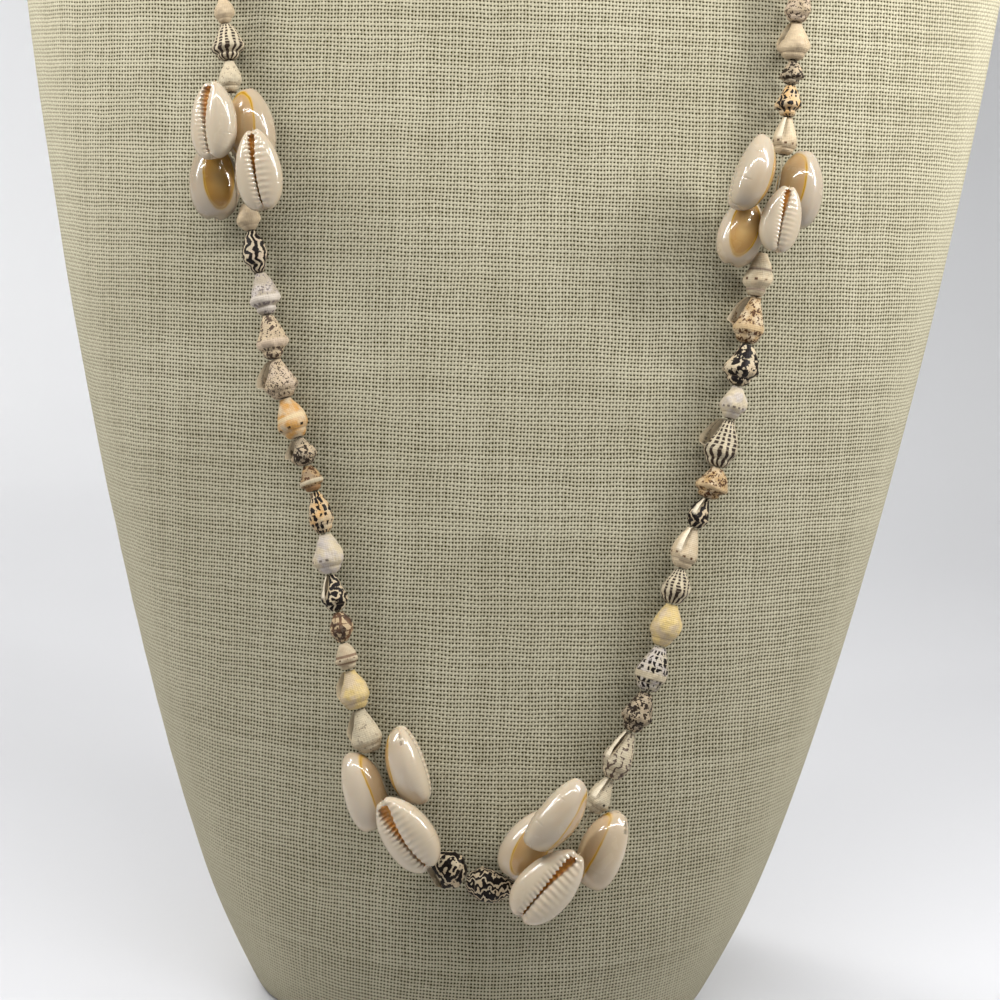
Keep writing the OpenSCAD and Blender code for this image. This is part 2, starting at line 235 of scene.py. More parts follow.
class Nodes:
    """Short-hand for wiring one node tree, in a material or in a group."""

    def __init__(self, tree: bpy.types.NodeTree) -> None:
        """Keeps the tree that nodes are added to."""
        self.tree = tree

    def add(self, kind: str, **settings: object) -> bpy.types.Node:
        """Adds a node and sets its own properties.

        Args:
            kind: The node's type, without its ShaderNode prefix.
            **settings: Properties of the node.

        Returns:
            The new node.
        """
        node = self.tree.nodes.new(kind if kind.startswith("Node") else "ShaderNode" + kind)
        for name, value in settings.items():
            setattr(node, name, value)
        return node

    def feed(self, socket: Socket, value: "Socket | float | Colour") -> None:
        """Links another socket into this one, or sets its plain value.

        Args:
            socket: The input to fill.
            value: Another node's output, or a plain value.
        """
        if isinstance(value, bpy.types.NodeSocket):
            self.tree.links.new(value, socket)
        elif isinstance(value, tuple) and socket.type == "RGBA":
            socket.default_value = (*value, 1)
        else:
            socket.default_value = value

    def feed_all(self, node: bpy.types.Node, **values: "Socket | float | Colour") -> bpy.types.Node:
        """Feeds a node's inputs by name.

        Args:
            node: The node.
            **values: What its inputs get, by name, with underscores for spaces.

        Returns:
            The same node.
        """
        for name, value in values.items():
            self.feed(node.inputs[name.replace("_", " ")], value)
        return node

    def math(self, operation: str, *values: "Socket | float", clamp: bool = False) -> Socket:
        """Adds a Math node.

        Args:
            operation: Name of the operation.
            *values: Its inputs in order.
            clamp: Whether the result is kept between 0 and 1.

        Returns:
            The result.
        """
        node = self.add("Math", operation=operation, use_clamp=clamp)
        for socket, value in zip(node.inputs, values):
            self.feed(socket, value)
        return node.outputs[0]

    def times(self, first: Socket, second: "Socket | float", clamp: bool = False) -> Socket:
        """Multiplies two values."""
        return self.math("MULTIPLY", first, second, clamp=clamp)

    def plus(self, first: Socket, second: "Socket | float") -> Socket:
        """Adds two values."""
        return self.math("ADD", first, second)

    def less(self, first: "Socket | float", second: "Socket | float") -> Socket:
        """Takes the second value from the first."""
        return self.math("SUBTRACT", first, second)

    def scaled(self, value: Socket, by: "Socket | float", shift: "Socket | float") -> Socket:
        """Multiplies a value and adds a shift."""
        return self.math("MULTIPLY_ADD", value, by, shift)

    def wave(self, value: Socket) -> Socket:
        """Turns a rising value into a triangle wave from 0 to 0.5."""
        return self.math("PINGPONG", value, 0.5)

    def mix(self, share: "Socket | float", low: "Socket | Colour", high: "Socket | Colour") -> Socket:
        """Mixes two colours.

        Args:
            share: How much of the second colour there is.
            low: The first colour.
            high: The second colour.

        Returns:
            The mixed colour.
        """
        node = self.add("Mix", data_type="RGBA")
        self.feed(node.inputs["Factor"], share)
        self.feed(node.inputs[6], low)
        self.feed(node.inputs[7], high)
        return node.outputs[2]

    def range(self, value: Socket, low: float, high: float, to: Span = (0, 1)) -> Socket:
        """Maps a value from low and high to another range, smoothly and clamped.

        Args:
            value: The value to map.
            low: Where the range starts.
            high: Where it ends.
            to: The results at the start and at the end.

        Returns:
            The mapped value.
        """
        node = self.add("MapRange", interpolation_type="SMOOTHSTEP")
        for socket, number in zip(node.inputs[:5], (value, low, high, *to)):
            self.feed(socket, number)
        return node.outputs[0]

    def noise(self, vector: Socket, scale: "Socket | float", detail: float = 2.0) -> Socket:
        """Adds a noise texture and returns its value."""
        node = self.add("TexNoise")
        return self.feed_all(node, Vector=vector, Scale=scale, Detail=detail).outputs["Fac"]

    def swing(self, vector: Socket, scale: "Socket | float", detail: float = 2.0) -> Socket:
        """Adds a noise texture and centres its value on 0."""
        return self.less(self.noise(vector, scale, detail), 0.5)

    def seed(self, row: Socket) -> Socket:
        """Gives each numbered row a random value of its own, from -0.5 to 0.5."""
        noise = self.feed_all(self.add("TexWhiteNoise", noise_dimensions="1D"), W=row)
        return self.less(noise.outputs["Value"], 0.5)

    def split(self, vector: Socket) -> tuple[Socket, Socket, Socket]:
        """Splits a vector into its three parts.

        Args:
            vector: The vector's socket.

        Returns:
            The three parts' sockets.
        """
        node = self.add("SeparateXYZ")
        self.feed(node.inputs[0], vector)
        return node.outputs[0], node.outputs[1], node.outputs[2]

    def join(self, x: "Socket | float", y: "Socket | float", z: "Socket | float" = 0.0) -> Socket:
        """Joins three values into a vector."""
        return self.feed_all(self.add("CombineXYZ"), X=x, Y=y, Z=z).outputs[0]

    def bump(self, height: Socket, strength: float, distance: float) -> Socket:
        """Adds a Bump node and returns the new normal."""
        node = self.add("Bump")
        return self.feed_all(node, Strength=strength, Distance=distance, Height=height).outputs[0]

    def attribute(self, name: str) -> bpy.types.Node:
        """Reads a named attribute of the mesh."""
        return self.add("Attribute", attribute_name=name)

    def object_place(self) -> Socket:
        """Reads Object coordinates."""
        return self.add("TexCoord").outputs["Object"]

    def group(self, tree: bpy.types.NodeTree, **values: "Socket | float") -> bpy.types.Node:
        """Places a node group and feeds its inputs by name, with underscores for spaces."""
        return self.feed_all(self.add("Group", node_tree=tree), **values)


class Group:
    """A shader node group with named sockets, built once and shared by the materials."""

    def __init__(self, name: str, inputs: dict[str, float | None], outputs: tuple[str, ...]) -> None:
        """Makes the group and its sockets.

        Args:
            name: Name of the group.
            inputs: Value inputs with their defaults, and vector inputs with None.
            outputs: Names of the value outputs.
        """
        self.tree = bpy.data.node_groups.new(name, "ShaderNodeTree")
        for label, value in inputs.items():
            kind = "NodeSocketVector" if value is None else "NodeSocketFloat"
            socket = self.tree.interface.new_socket(label, in_out="INPUT", socket_type=kind)
            if value is not None:
                socket.default_value = value
        for label in outputs:
            self.tree.interface.new_socket(label, in_out="OUTPUT", socket_type="NodeSocketFloat")
        self.nodes = Nodes(self.tree)
        self.given = self.nodes.add("NodeGroupInput").outputs
        self.made = self.nodes.add("NodeGroupOutput").inputs


SPECKLE_EDGE: Span = (-0.06, 0.07)
LINE_EDGE: Span = (-0.05, 0.05)
BAND_EDGE: Span = (-0.02, 0.02)


def grain_group() -> bpy.types.NodeTree:
    """Builds the fine chalky grain that every shell has, as a height and a tone.

    Returns:
        The group.
    """
    inputs = {"Vector": None, "Scale": 1400.0, "Tone Share": 0.26}
    group = Group("shell_grain", inputs, ("Height", "Tone"))
    n, given = group.nodes, group.given
    tone_scale = n.times(given["Scale"], given["Tone Share"])
    n.feed(group.made["Height"], n.noise(given["Vector"], given["Scale"], 4.0))
    n.feed(group.made["Tone"], n.noise(given["Vector"], tone_scale, 3.0))
    return group.tree


def speckle_group() -> bpy.types.NodeTree:
    """Builds irregular specks and dabs, denser where a slow noise is high.

    Returns:
        The group, which puts out a mask.
    """
    inputs = {"Vector": None, "Scale": 1100.0, "Cover": 0.3, "Slow Share": 0.45, "Reach": 1.9}
    group = Group("speckle_marks", inputs, ("Mask",))
    n, given = group.nodes, group.given
    cells = n.feed_all(n.add("TexVoronoi", feature="F1"), Vector=given["Vector"], Scale=given["Scale"])
    slow = n.noise(given["Vector"], n.times(given["Scale"], given["Slow Share"]), 3.0)
    reach = n.times(n.range(slow, 0.3, 0.7), n.times(given["Cover"], given["Reach"]))
    edge = n.less(reach, cells.outputs["Distance"])
    n.feed(group.made["Mask"], n.range(edge, *SPECKLE_EDGE))
    return group.tree


def zigzag_group() -> bpy.types.NodeTree:
    """Builds zigzag lines that run along a shell, broken up by noise.

    Returns:
        The group, which puts out a mask.
    """
    inputs = {
        "Vector": None, "Place": None, "Lines": 9.0, "Zigs": 5.0, "Cover": 0.5, "Break": 0.35,
        "Drift Scale": 420.0, "Drift": 9.0,
    }
    group = Group("zigzag_marks", inputs, ("Mask",))
    n, given = group.nodes, group.given
    around, along, _ = n.split(given["Vector"])
    zig = n.wave(n.times(along, given["Zigs"]))
    drift = n.times(n.swing(given["Place"], given["Drift Scale"], 3.0), given["Drift"])
    phase = n.plus(n.times(around, given["Lines"]), n.scaled(drift, given["Break"], zig))
    edge = n.less(n.times(given["Cover"], 0.5), n.wave(phase))
    n.feed(group.made["Mask"], n.range(edge, *LINE_EDGE))
    return group.tree


def dash_group() -> bpy.types.NodeTree:
    """Builds rows of short dashes that run along a shell, uneven in size.

    Returns:
        The group, which puts out a mask.
    """
    inputs = {
        "Vector": None, "Place": None, "Lines": 12.0, "Rows": 5.0, "Cover": 0.5,
        "Line Scale": 380.0, "Line Drift": 1.7, "Row Scale": 620.0, "Row Drift": 1.3, "Row Share": 0.8,
        "Uneven": 2.2, "Mean": 0.5,
    }
    group = Group("dash_marks", inputs, ("Mask",))
    n, given = group.nodes, group.given
    around, along, _ = n.split(given["Vector"])
    line_drift = n.swing(given["Place"], given["Line Scale"])
    row_drift = n.swing(given["Place"], given["Row Scale"], 3.0)
    stripe = n.wave(n.scaled(around, given["Lines"], n.times(line_drift, given["Line Drift"])))
    row = n.wave(n.scaled(along, given["Rows"], n.times(row_drift, given["Row Drift"])))
    far = n.math("MAXIMUM", stripe, n.times(row, given["Row Share"]))
    reach = n.times(given["Cover"], n.scaled(row_drift, given["Uneven"], given["Mean"]))
    n.feed(group.made["Mask"], n.range(n.less(reach, far), *LINE_EDGE))
    return group.tree


def band_group() -> bpy.types.NodeTree:
    """Builds one soft band round a shell at a share of its length.

    Returns:
        The group, which puts out a mask.
    """
    group = Group("shell_band", {"Vector": None, "At": 0.4, "Half": 0.05}, ("Mask",))
    n, given = group.nodes, group.given
    along = n.split(given["Vector"])[1]
    away = n.math("ABSOLUTE", n.less(along, given["At"]))
    n.feed(group.made["Mask"], n.range(n.less(given["Half"], away), *BAND_EDGE))
    return group.tree


def weave_group() -> bpy.types.NodeTree:
    """Builds a plain open weave with a gap at each corner between two threads each way.

    Returns:
        The group. It works in millimetres, and its slubs and spreads are shares of a thread's pitch.
    """
    inputs = {
        "Vector": None, "Pitch Across": 0.83, "Pitch Down": 0.98, "Sway Scale": 0.07, "Sway": 1.3,
        "Slub Scale": 0.9, "Slub": 0.36, "Warp Spread": 0.08, "Weft Spread": 0.1, "Thread Tone": 0.1,
        "Rise Painted Light": 0.3,
    }
    open_across: Span = (0.28, 0.68)
    open_down: Span = (0.42, 0.76)
    group = Group("linen_weave", inputs, ("Gap", "Height", "Tone"))
    n, given = group.nodes, group.given
    sway = n.times(n.swing(given["Vector"], given["Sway Scale"]), given["Sway"])
    across, down, _ = n.split(given["Vector"])
    warp = n.math("DIVIDE", n.plus(across, sway), given["Pitch Across"])
    weft = n.math("DIVIDE", n.less(down, sway), given["Pitch Down"])
    warp_row, weft_row = n.math("FLOOR", warp), n.math("FLOOR", weft)
    side = n.math("ABSOLUTE", n.scaled(n.math("FRACT", warp), 2.0, -1.0))
    rise = n.math("ABSOLUTE", n.scaled(n.math("FRACT", weft), 2.0, -1.0))
    warp_seed, weft_seed = n.seed(warp_row), n.seed(n.plus(weft_row, 0.5))
    thick = n.times(n.swing(n.join(across, down), given["Slub Scale"]), given["Slub"])
    warp_thick = n.scaled(warp_seed, given["Warp Spread"], thick)
    weft_thick = n.scaled(weft_seed, given["Weft Spread"], thick)
    open_side = n.range(n.less(side, warp_thick), *open_across)
    open_rise = n.range(n.less(rise, weft_thick), *open_down)
    gap = n.times(open_side, open_rise)
    over = n.math("MODULO", n.plus(warp_row, weft_row), 2.0)
    warp_top = n.math("GREATER_THAN", n.math("ABSOLUTE", over), 0.5)
    warp_high = n.scaled(n.math("POWER", side, 2.0), -1.0, 1.0)
    weft_high = n.scaled(n.math("POWER", rise, 2.0), -1.0, 1.0)
    high = n.feed_all(n.add("Mix", data_type="FLOAT"), Factor=warp_top, A=weft_high, B=warp_high)
    low = n.times(n.less(1.0, gap), high.outputs[0])
    tone = n.plus(n.plus(warp_seed, weft_seed), 1.0)
    n.feed(group.made["Gap"], gap)
    n.feed(group.made["Height"], low)
    # Painted light: the raised crossings are made lighter than the threads beside the gaps, on top of the
    # slubs
    raised = n.scaled(low, given["Rise Painted Light"], thick)
    n.feed(group.made["Tone"], n.scaled(tone, given["Thread Tone"], raised))
    return group.tree


class Groups:
    """The shared node groups."""

    def __init__(self) -> None:
        """Builds each group once."""
        self.grain = grain_group()
        self.speckle = speckle_group()
        self.zigzag = zigzag_group()
        self.dash = dash_group()
        self.band = band_group()
        self.weave = weave_group()


def new_material(name: str) -> tuple[bpy.types.Material, Nodes, bpy.types.Node]:
    """Makes an empty material with one Principled BSDF.

    Args:
        name: Name of the material.

    Returns:
        The material, its wiring and its shader.
    """
    material = bpy.data.materials.new(name)
    material.use_nodes = True
    material.node_tree.nodes.clear()
    n = Nodes(material.node_tree)
    shader = n.add("BsdfPrincipled")
    n.feed(n.add("OutputMaterial").inputs["Surface"], shader.outputs["BSDF"])
    return material, n, shader


@dataclass(frozen=True)
class LinenFinish:
    """Open plain weave of unbleached linen, in blotches, closing up where the cloth leans away, where
    painted light also makes it lighter.
    """

    light: Colour = (0.475, 0.438, 0.318)
    shade: Colour = (0.255, 0.23, 0.148)
    gap: Colour = (0.03, 0.023, 0.006)
    relief_strength: float = 0.6
    tones: Span = (-0.05, 0.45)
    blotch_scale: float = 0.03
    blotches: Span = (0.0, 0.22)
    lean: Span = (0.1, 0.6)
    painted_edge_light: float = 0.6
    # Painted light at the bust's edges
    lean_close: float = 0.7
    fluff_scale: float = 9.0
    fluff: float = 0.15
    roughness: float = 0.85
    specular: float = 0.04
    relief: float = 0.22 * MM

    def material(self, groups: Groups) -> bpy.types.Material:
        """Builds the linen.

        Args:
            groups: The shared node groups.

        Returns:
            The material, which reads the cloth's own UV map in millimetres, and how far the cloth leans
            away from the front, where the threads close up and painted light makes the cloth lighter.
        """
        material, n, shader = new_material("linen")
        cloth = n.add("UVMap", uv_map="cloth").outputs[0]
        weave = n.group(groups.weave, Vector=cloth)
        # The weave's tone is each thread's own tone plus painted light on its raised crossings; the slow
        # blotches are the cloth's own uneven tone
        tone = n.range(weave.outputs["Tone"], *self.tones)
        blotch = n.range(n.noise(cloth, self.blotch_scale, 3.0), *MIDDLE, self.blotches)
        thread = n.mix(blotch, n.mix(tone, self.shade, self.light), self.shade)
        slope = n.range(n.attribute("slant").outputs["Fac"], *self.lean)
        # Painted light: the cloth is mixed towards its light colour where it leans away from the front, a
        # painted sheen at the bust's edges
        thread = n.mix(n.times(slope, self.painted_edge_light), thread, self.light)
        gap = n.times(weave.outputs["Gap"], n.scaled(slope, -self.lean_close, 1.0))
        height = n.scaled(n.noise(cloth, self.fluff_scale), self.fluff, weave.outputs["Height"])
        n.feed_all(
            shader, Base_Color=n.mix(gap, thread, self.gap), Roughness=self.roughness,
            Specular_IOR_Level=self.specular, Normal=n.bump(height, self.relief_strength, self.relief),
        )
        return material


@dataclass(frozen=True)
class ThreadFinish:
    """Waxed cotton thread."""

    light: Colour = (0.30, 0.26, 0.17)
    shade: Colour = (0.19, 0.16, 0.10)
    roughness: Span = (0.5, 0.75)
    fibres: float = 5200.0
    relief: float = 0.05 * MM

    def material(self, groups: Groups) -> bpy.types.Material:
        """Builds the thread's material from the shared grain.

        Args:
            groups: The shared node groups.

        Returns:
            The material.
        """
        material, n, shader = new_material("waxed_thread")
        grain = n.group(groups.grain, Vector=n.object_place(), Scale=self.fibres).outputs
        n.feed_all(
            shader, Base_Color=n.mix(grain["Height"], self.shade, self.light),
            Roughness=n.range(grain["Tone"], *MOST, self.roughness),
            Normal=n.bump(grain["Height"], 0.5, self.relief),
        )
        return material


@dataclass(frozen=True)
class CowrieFinish:
    """Glossy porcelain of a ring cowrie: pale base, blushing sides and a golden ring on the back."""

    margin: Colour = (0.455, 0.36, 0.245)
    pale_margin: Colour = (0.50, 0.415, 0.31)
    base: Colour = (0.505, 0.42, 0.305)
    tooth: Colour = (0.60, 0.50, 0.37)
    back: Colour = (0.39, 0.19, 0.022)
    glow: Colour = (0.53, 0.32, 0.03)
    ring: Colour = (0.33, 0.15, 0.006)
    inside: Colour = (0.60, 0.28, 0.06)
    dome: Colour = (0.51, 0.31, 0.09)
    # The dark that each shell's painted shade mixes into its whole colour
    painted_shade_black: Colour = (0.0, 0.0, 0.0)
    cloud_scale: float = 260.0
    cloud: float = 0.24
    back_from: Span = (0.05, 0.12)
    base_from: Span = (-0.1, 0.1)
    patch_edge: Span = (0.92, 1.05)
    patch_fade: Span = (0.1, 0.95)
    halo_width: Span = (0.015, 0.1)
    ring_width: Span = (0.008, 0.04)
    ring_strength: float = 0.75
    fade_scale: float = 130.0
    faintest: float = 0.35
    shell_scale: float = 48.0
    tooth_strength: float = 0.4
    inside_from: Span = (0.3, 0.85)
    grain_scale: float = 700.0
    roughness: Span = (0.16, 0.28)
    specular: float = 0.22
    coat: float = 0.85
    coat_roughness: float = 0.03
    glow_through: float = 0.25
    glow_colours: Colour = (1.0, 0.55, 0.3)
    glow_depth: float = 1.2 * MM
    relief: float = 0.15 * MM

    def skin(self, n: Nodes) -> Socket:
        """Builds the shell's colour from the marks written on its vertices, darkened by its painted shade.

        Args:
            n: Wiring of the material.

        Returns:
            The colour.
        """
        place = n.object_place()
        up = n.split(n.attribute("own_place").outputs["Vector"])[2]
        ring, depth, tooth = n.split(n.attribute("own_marks").outputs["Vector"])
        drift = n.times(n.swing(place, self.cloud_scale), self.cloud)
        ring_place = n.plus(ring, n.times(drift, 0.5))
        within = n.range(ring_place, *self.patch_edge, FALLING)
        on_back = n.range(up, *self.back_from)
        from_ring = n.math("ABSOLUTE", n.less(ring_place, 1.0))
        faint = n.range(n.noise(place, self.fade_scale, 1.0), 0.35, 0.6, (self.faintest, 1.0))
        halo = n.times(n.range(from_ring, *self.halo_width, FALLING), faint)
        line = n.times(n.range(from_ring, *self.ring_width, FALLING), faint)
        blush = n.range(n.plus(up, n.times(drift, 0.6)), *self.base_from)
        pale = n.range(n.noise(place, self.shell_scale, 1.0), 0.4, 0.6)
        strength = n.times(on_back, n.attribute("own_patch").outputs["Fac"])
        patch = n.mix(n.range(ring_place, *self.patch_fade), self.dome, self.back)
        skin = n.mix(blush, self.base, n.mix(pale, self.margin, self.pale_margin))
        skin = n.mix(n.times(within, strength), skin, patch)
        skin = n.mix(n.times(halo, on_back), skin, self.glow)
        skin = n.mix(n.times(line, n.times(on_back, self.ring_strength)), skin, self.ring)
        skin = n.mix(n.times(tooth, self.tooth_strength, clamp=True), skin, self.tooth)
        skin = n.mix(n.range(depth, *self.inside_from), skin, self.inside)
        # Painted shade: the whole shell's colour is mixed towards the dark by its own painted shade
        return n.mix(n.attribute("own_painted_shade").outputs["Fac"], skin, self.painted_shade_black)

    def material(self, groups: Groups) -> bpy.types.Material:
        """Builds the cowries' material.

        Args:
            groups: The shared node groups.

        Returns:
            The material. It reads each shell's own place, written on its vertices as an attribute.
        """
        material, n, shader = new_material("cowrie_porcelain")
        grain = n.group(groups.grain, Vector=n.object_place(), Scale=self.grain_scale).outputs["Tone"]
        n.feed_all(
            shader, Base_Color=self.skin(n), Roughness=n.range(grain, *MOST, self.roughness),
            Subsurface_Weight=self.glow_through, Subsurface_Radius=self.glow_colours,
            Subsurface_Scale=self.glow_depth, Specular_IOR_Level=self.specular, Coat_Weight=self.coat,
            Coat_Roughness=self.coat_roughness, Normal=n.bump(grain, 0.08, self.relief),
        )
        return material


class Marks(Enum):
    """Ways in which a small shell is marked."""

    PLAIN = "plain"
    SPECKLE = "speckle"
    ZIGZAG = "zigzag"
    STREAKS = "streaks"
    DASHES = "dashes"


@dataclass(frozen=True)
class ShellFinish:
    """Colours and marks of one kind of small shell.

    Bands and dots stand at shares of the length, and a band also has half its width.
    """

    name: str
    ground: Colour
    blush: Colour
    mark: Colour = (0.10, 0.06, 0.04)
    marks: Marks = Marks.PLAIN
    scale: float = 1100.0
    cover: float = 0.3
    lines: float = 9.0
    zigs: float = 5.0
    breaks: float = 0.15
    bands: tuple[Span, ...] = ()
    band: Colour = (0.50, 0.42, 0.32)
    dots: tuple[float, ...] = ()
    dot_count: float = 10.0
    spire: Colour | None = None
    lip: Colour = (0.72, 0.63, 0.47)
    gloss: float = 0.4
    dirt: Colour = (0.3, 0.24, 0.17)
    seam: Colour = (0.2, 0.15, 0.1)
    seams: tuple[float, ...] = (0.005, 0.185)
    # Painted shade in the opening's cave and in the drilled holes
    hollow_shade: Colour = (0.07, 0.035, 0.016)
    strength: float = 0.9
    spire_edge: Span = (0.24, 0.14)
    hollow_from: Span = (0.1, 1.0)
    dot_half: float = 0.03
    dot_edge: float = 0.04
    dot_step: float = 56.0
    dot_fade_scale: float = 460.0
    streak_zigs: float = 0.3
    streak_rows: float = 11.0
    cords: float = 22.0
    cord_height: float = 0.6
    growth_lines: float = 34.0
    growth_height: float = 0.35
    specular: float = 0.12
    relief: float = 0.2 * MM

    def mask(self, n: Nodes, groups: Groups, uv: Socket) -> Socket | float:
        """Builds the mask of the marks.

        Args:
            n: Wiring of the material.
            groups: The shared node groups.
            uv: The shell's own UV map, round it and along it.

        Returns:
            A value that is 1 on a mark.
        """
        if self.marks is Marks.PLAIN:
            return 0.0
        place = n.object_place()
        if self.marks is Marks.SPECKLE:
            return n.group(groups.speckle, Vector=place, Scale=self.scale, Cover=self.cover).outputs["Mask"]
        drawn = {"Vector": uv, "Place": place, "Lines": self.lines, "Cover": self.cover}
        if self.marks is Marks.DASHES:
            return n.group(groups.dash, Rows=self.zigs, **drawn).outputs["Mask"]
        zigs = self.zigs if self.marks is Marks.ZIGZAG else self.streak_zigs
        lines = n.group(groups.zigzag, Zigs=zigs, Break=self.breaks, **drawn).outputs["Mask"]
        if self.marks is Marks.ZIGZAG:
            return lines
        along = n.split(uv)[1]
        kept = n.range(n.wave(n.times(along, self.streak_rows)), 0.08, 0.22)
        return n.times(lines, n.math("MAXIMUM", kept, n.range(along, 0.5, 0.3)))

    def dot_mask(self, n: Nodes, groups: Groups, uv: Socket, at: float) -> Socket:
        """Builds the mask of one row of dots, some of them missing.

        Args:
            n: Wiring of the material.
            groups: The shared node groups.
            uv: The shell's own UV map.
            at: Where the row is, as a share of the length.

        Returns:
            A value that is 1 on a dot.
        """
        row = n.group(groups.band, Vector=uv, At=at, Half=self.dot_half).outputs["Mask"]
        start = 0.5 - self.dot_count / self.dot_step
        spot = n.wave(n.times(n.split(uv)[0], self.dot_count))
        kept = n.range(n.noise(n.object_place(), self.dot_fade_scale, 1.0), 0.36, 0.5)
        return n.times(n.times(row, n.range(spot, start - self.dot_edge, start + self.dot_edge)), kept)

    def material(self, groups: Groups) -> bpy.types.Material:
        """Builds the material of this kind of shell.

        Args:
            groups: The shared node groups.

        Returns:
            The material.
        """
        material, n, shader = new_material("shell_" + self.name)
        uv = n.add("UVMap", uv_map="shell").outputs[0]
        around, along, _ = n.split(uv)
        grain = n.group(groups.grain, Vector=n.object_place()).outputs
        skin = n.mix(n.range(grain["Tone"], *MIDDLE), self.ground, self.blush)
        skin = n.mix(n.range(grain["Height"], 0.5, 0.72, (0.0, 0.3)), skin, self.dirt)
        skin = n.mix(self.mask(n, groups, uv), skin, self.mark)
        for at, half in self.bands:
            band = n.group(groups.band, Vector=uv, At=at, Half=half).outputs["Mask"]
            skin = n.mix(n.times(band, self.strength), skin, self.band)
        for at in self.dots:
            skin = n.mix(self.dot_mask(n, groups, uv, at), skin, self.mark)
        if self.spire:
            skin = n.mix(n.range(along, *self.spire_edge), skin, self.spire)
        for at in self.seams:
            seam = n.group(groups.band, Vector=uv, At=at, Half=0.0).outputs["Mask"]
            skin = n.mix(n.times(seam, self.strength), skin, self.seam)
        lip, depth, _ = n.split(n.attribute("own_marks").outputs["Vector"])
        # The lip has its own paler colour; painted shade darkens the opening's cave and the drilled holes
        # by their depth
        skin = n.mix(n.range(depth, *self.hollow_from), n.mix(lip, skin, self.lip), self.hollow_shade)
        cords = n.times(n.wave(n.times(along, self.cords)), self.cord_height)
        height = n.scaled(n.wave(n.times(around, self.growth_lines)), self.growth_height, cords)
        rough = n.range(grain["Height"], *MOST, (self.gloss - 0.08, self.gloss + 0.12))
        n.feed_all(
            shader, Base_Color=skin, Roughness=rough, Specular_IOR_Level=self.specular,
            Normal=n.bump(n.plus(height, grain["Height"]), 0.6, self.relief),
        )
        return material


WHITE_TONE: Colour = (0.49, 0.41, 0.28)
CHALK_TONE: Colour = (0.43, 0.37, 0.26)
CREAM_TONE: Colour = (0.485, 0.38, 0.245)
BEIGE_TONE: Colour = (0.40, 0.31, 0.20)
PINK_TONE: Colour = (0.46, 0.36, 0.26)
LILAC_TONE: Colour = (0.43, 0.38, 0.34)
TAN_TONE: Colour = (0.36, 0.23, 0.10)
GREY_TONE: Colour = (0.27, 0.22, 0.15)
DARK_TONE: Colour = (0.008, 0.005, 0.004)
BROWN_TONE: Colour = (0.075, 0.032, 0.012)


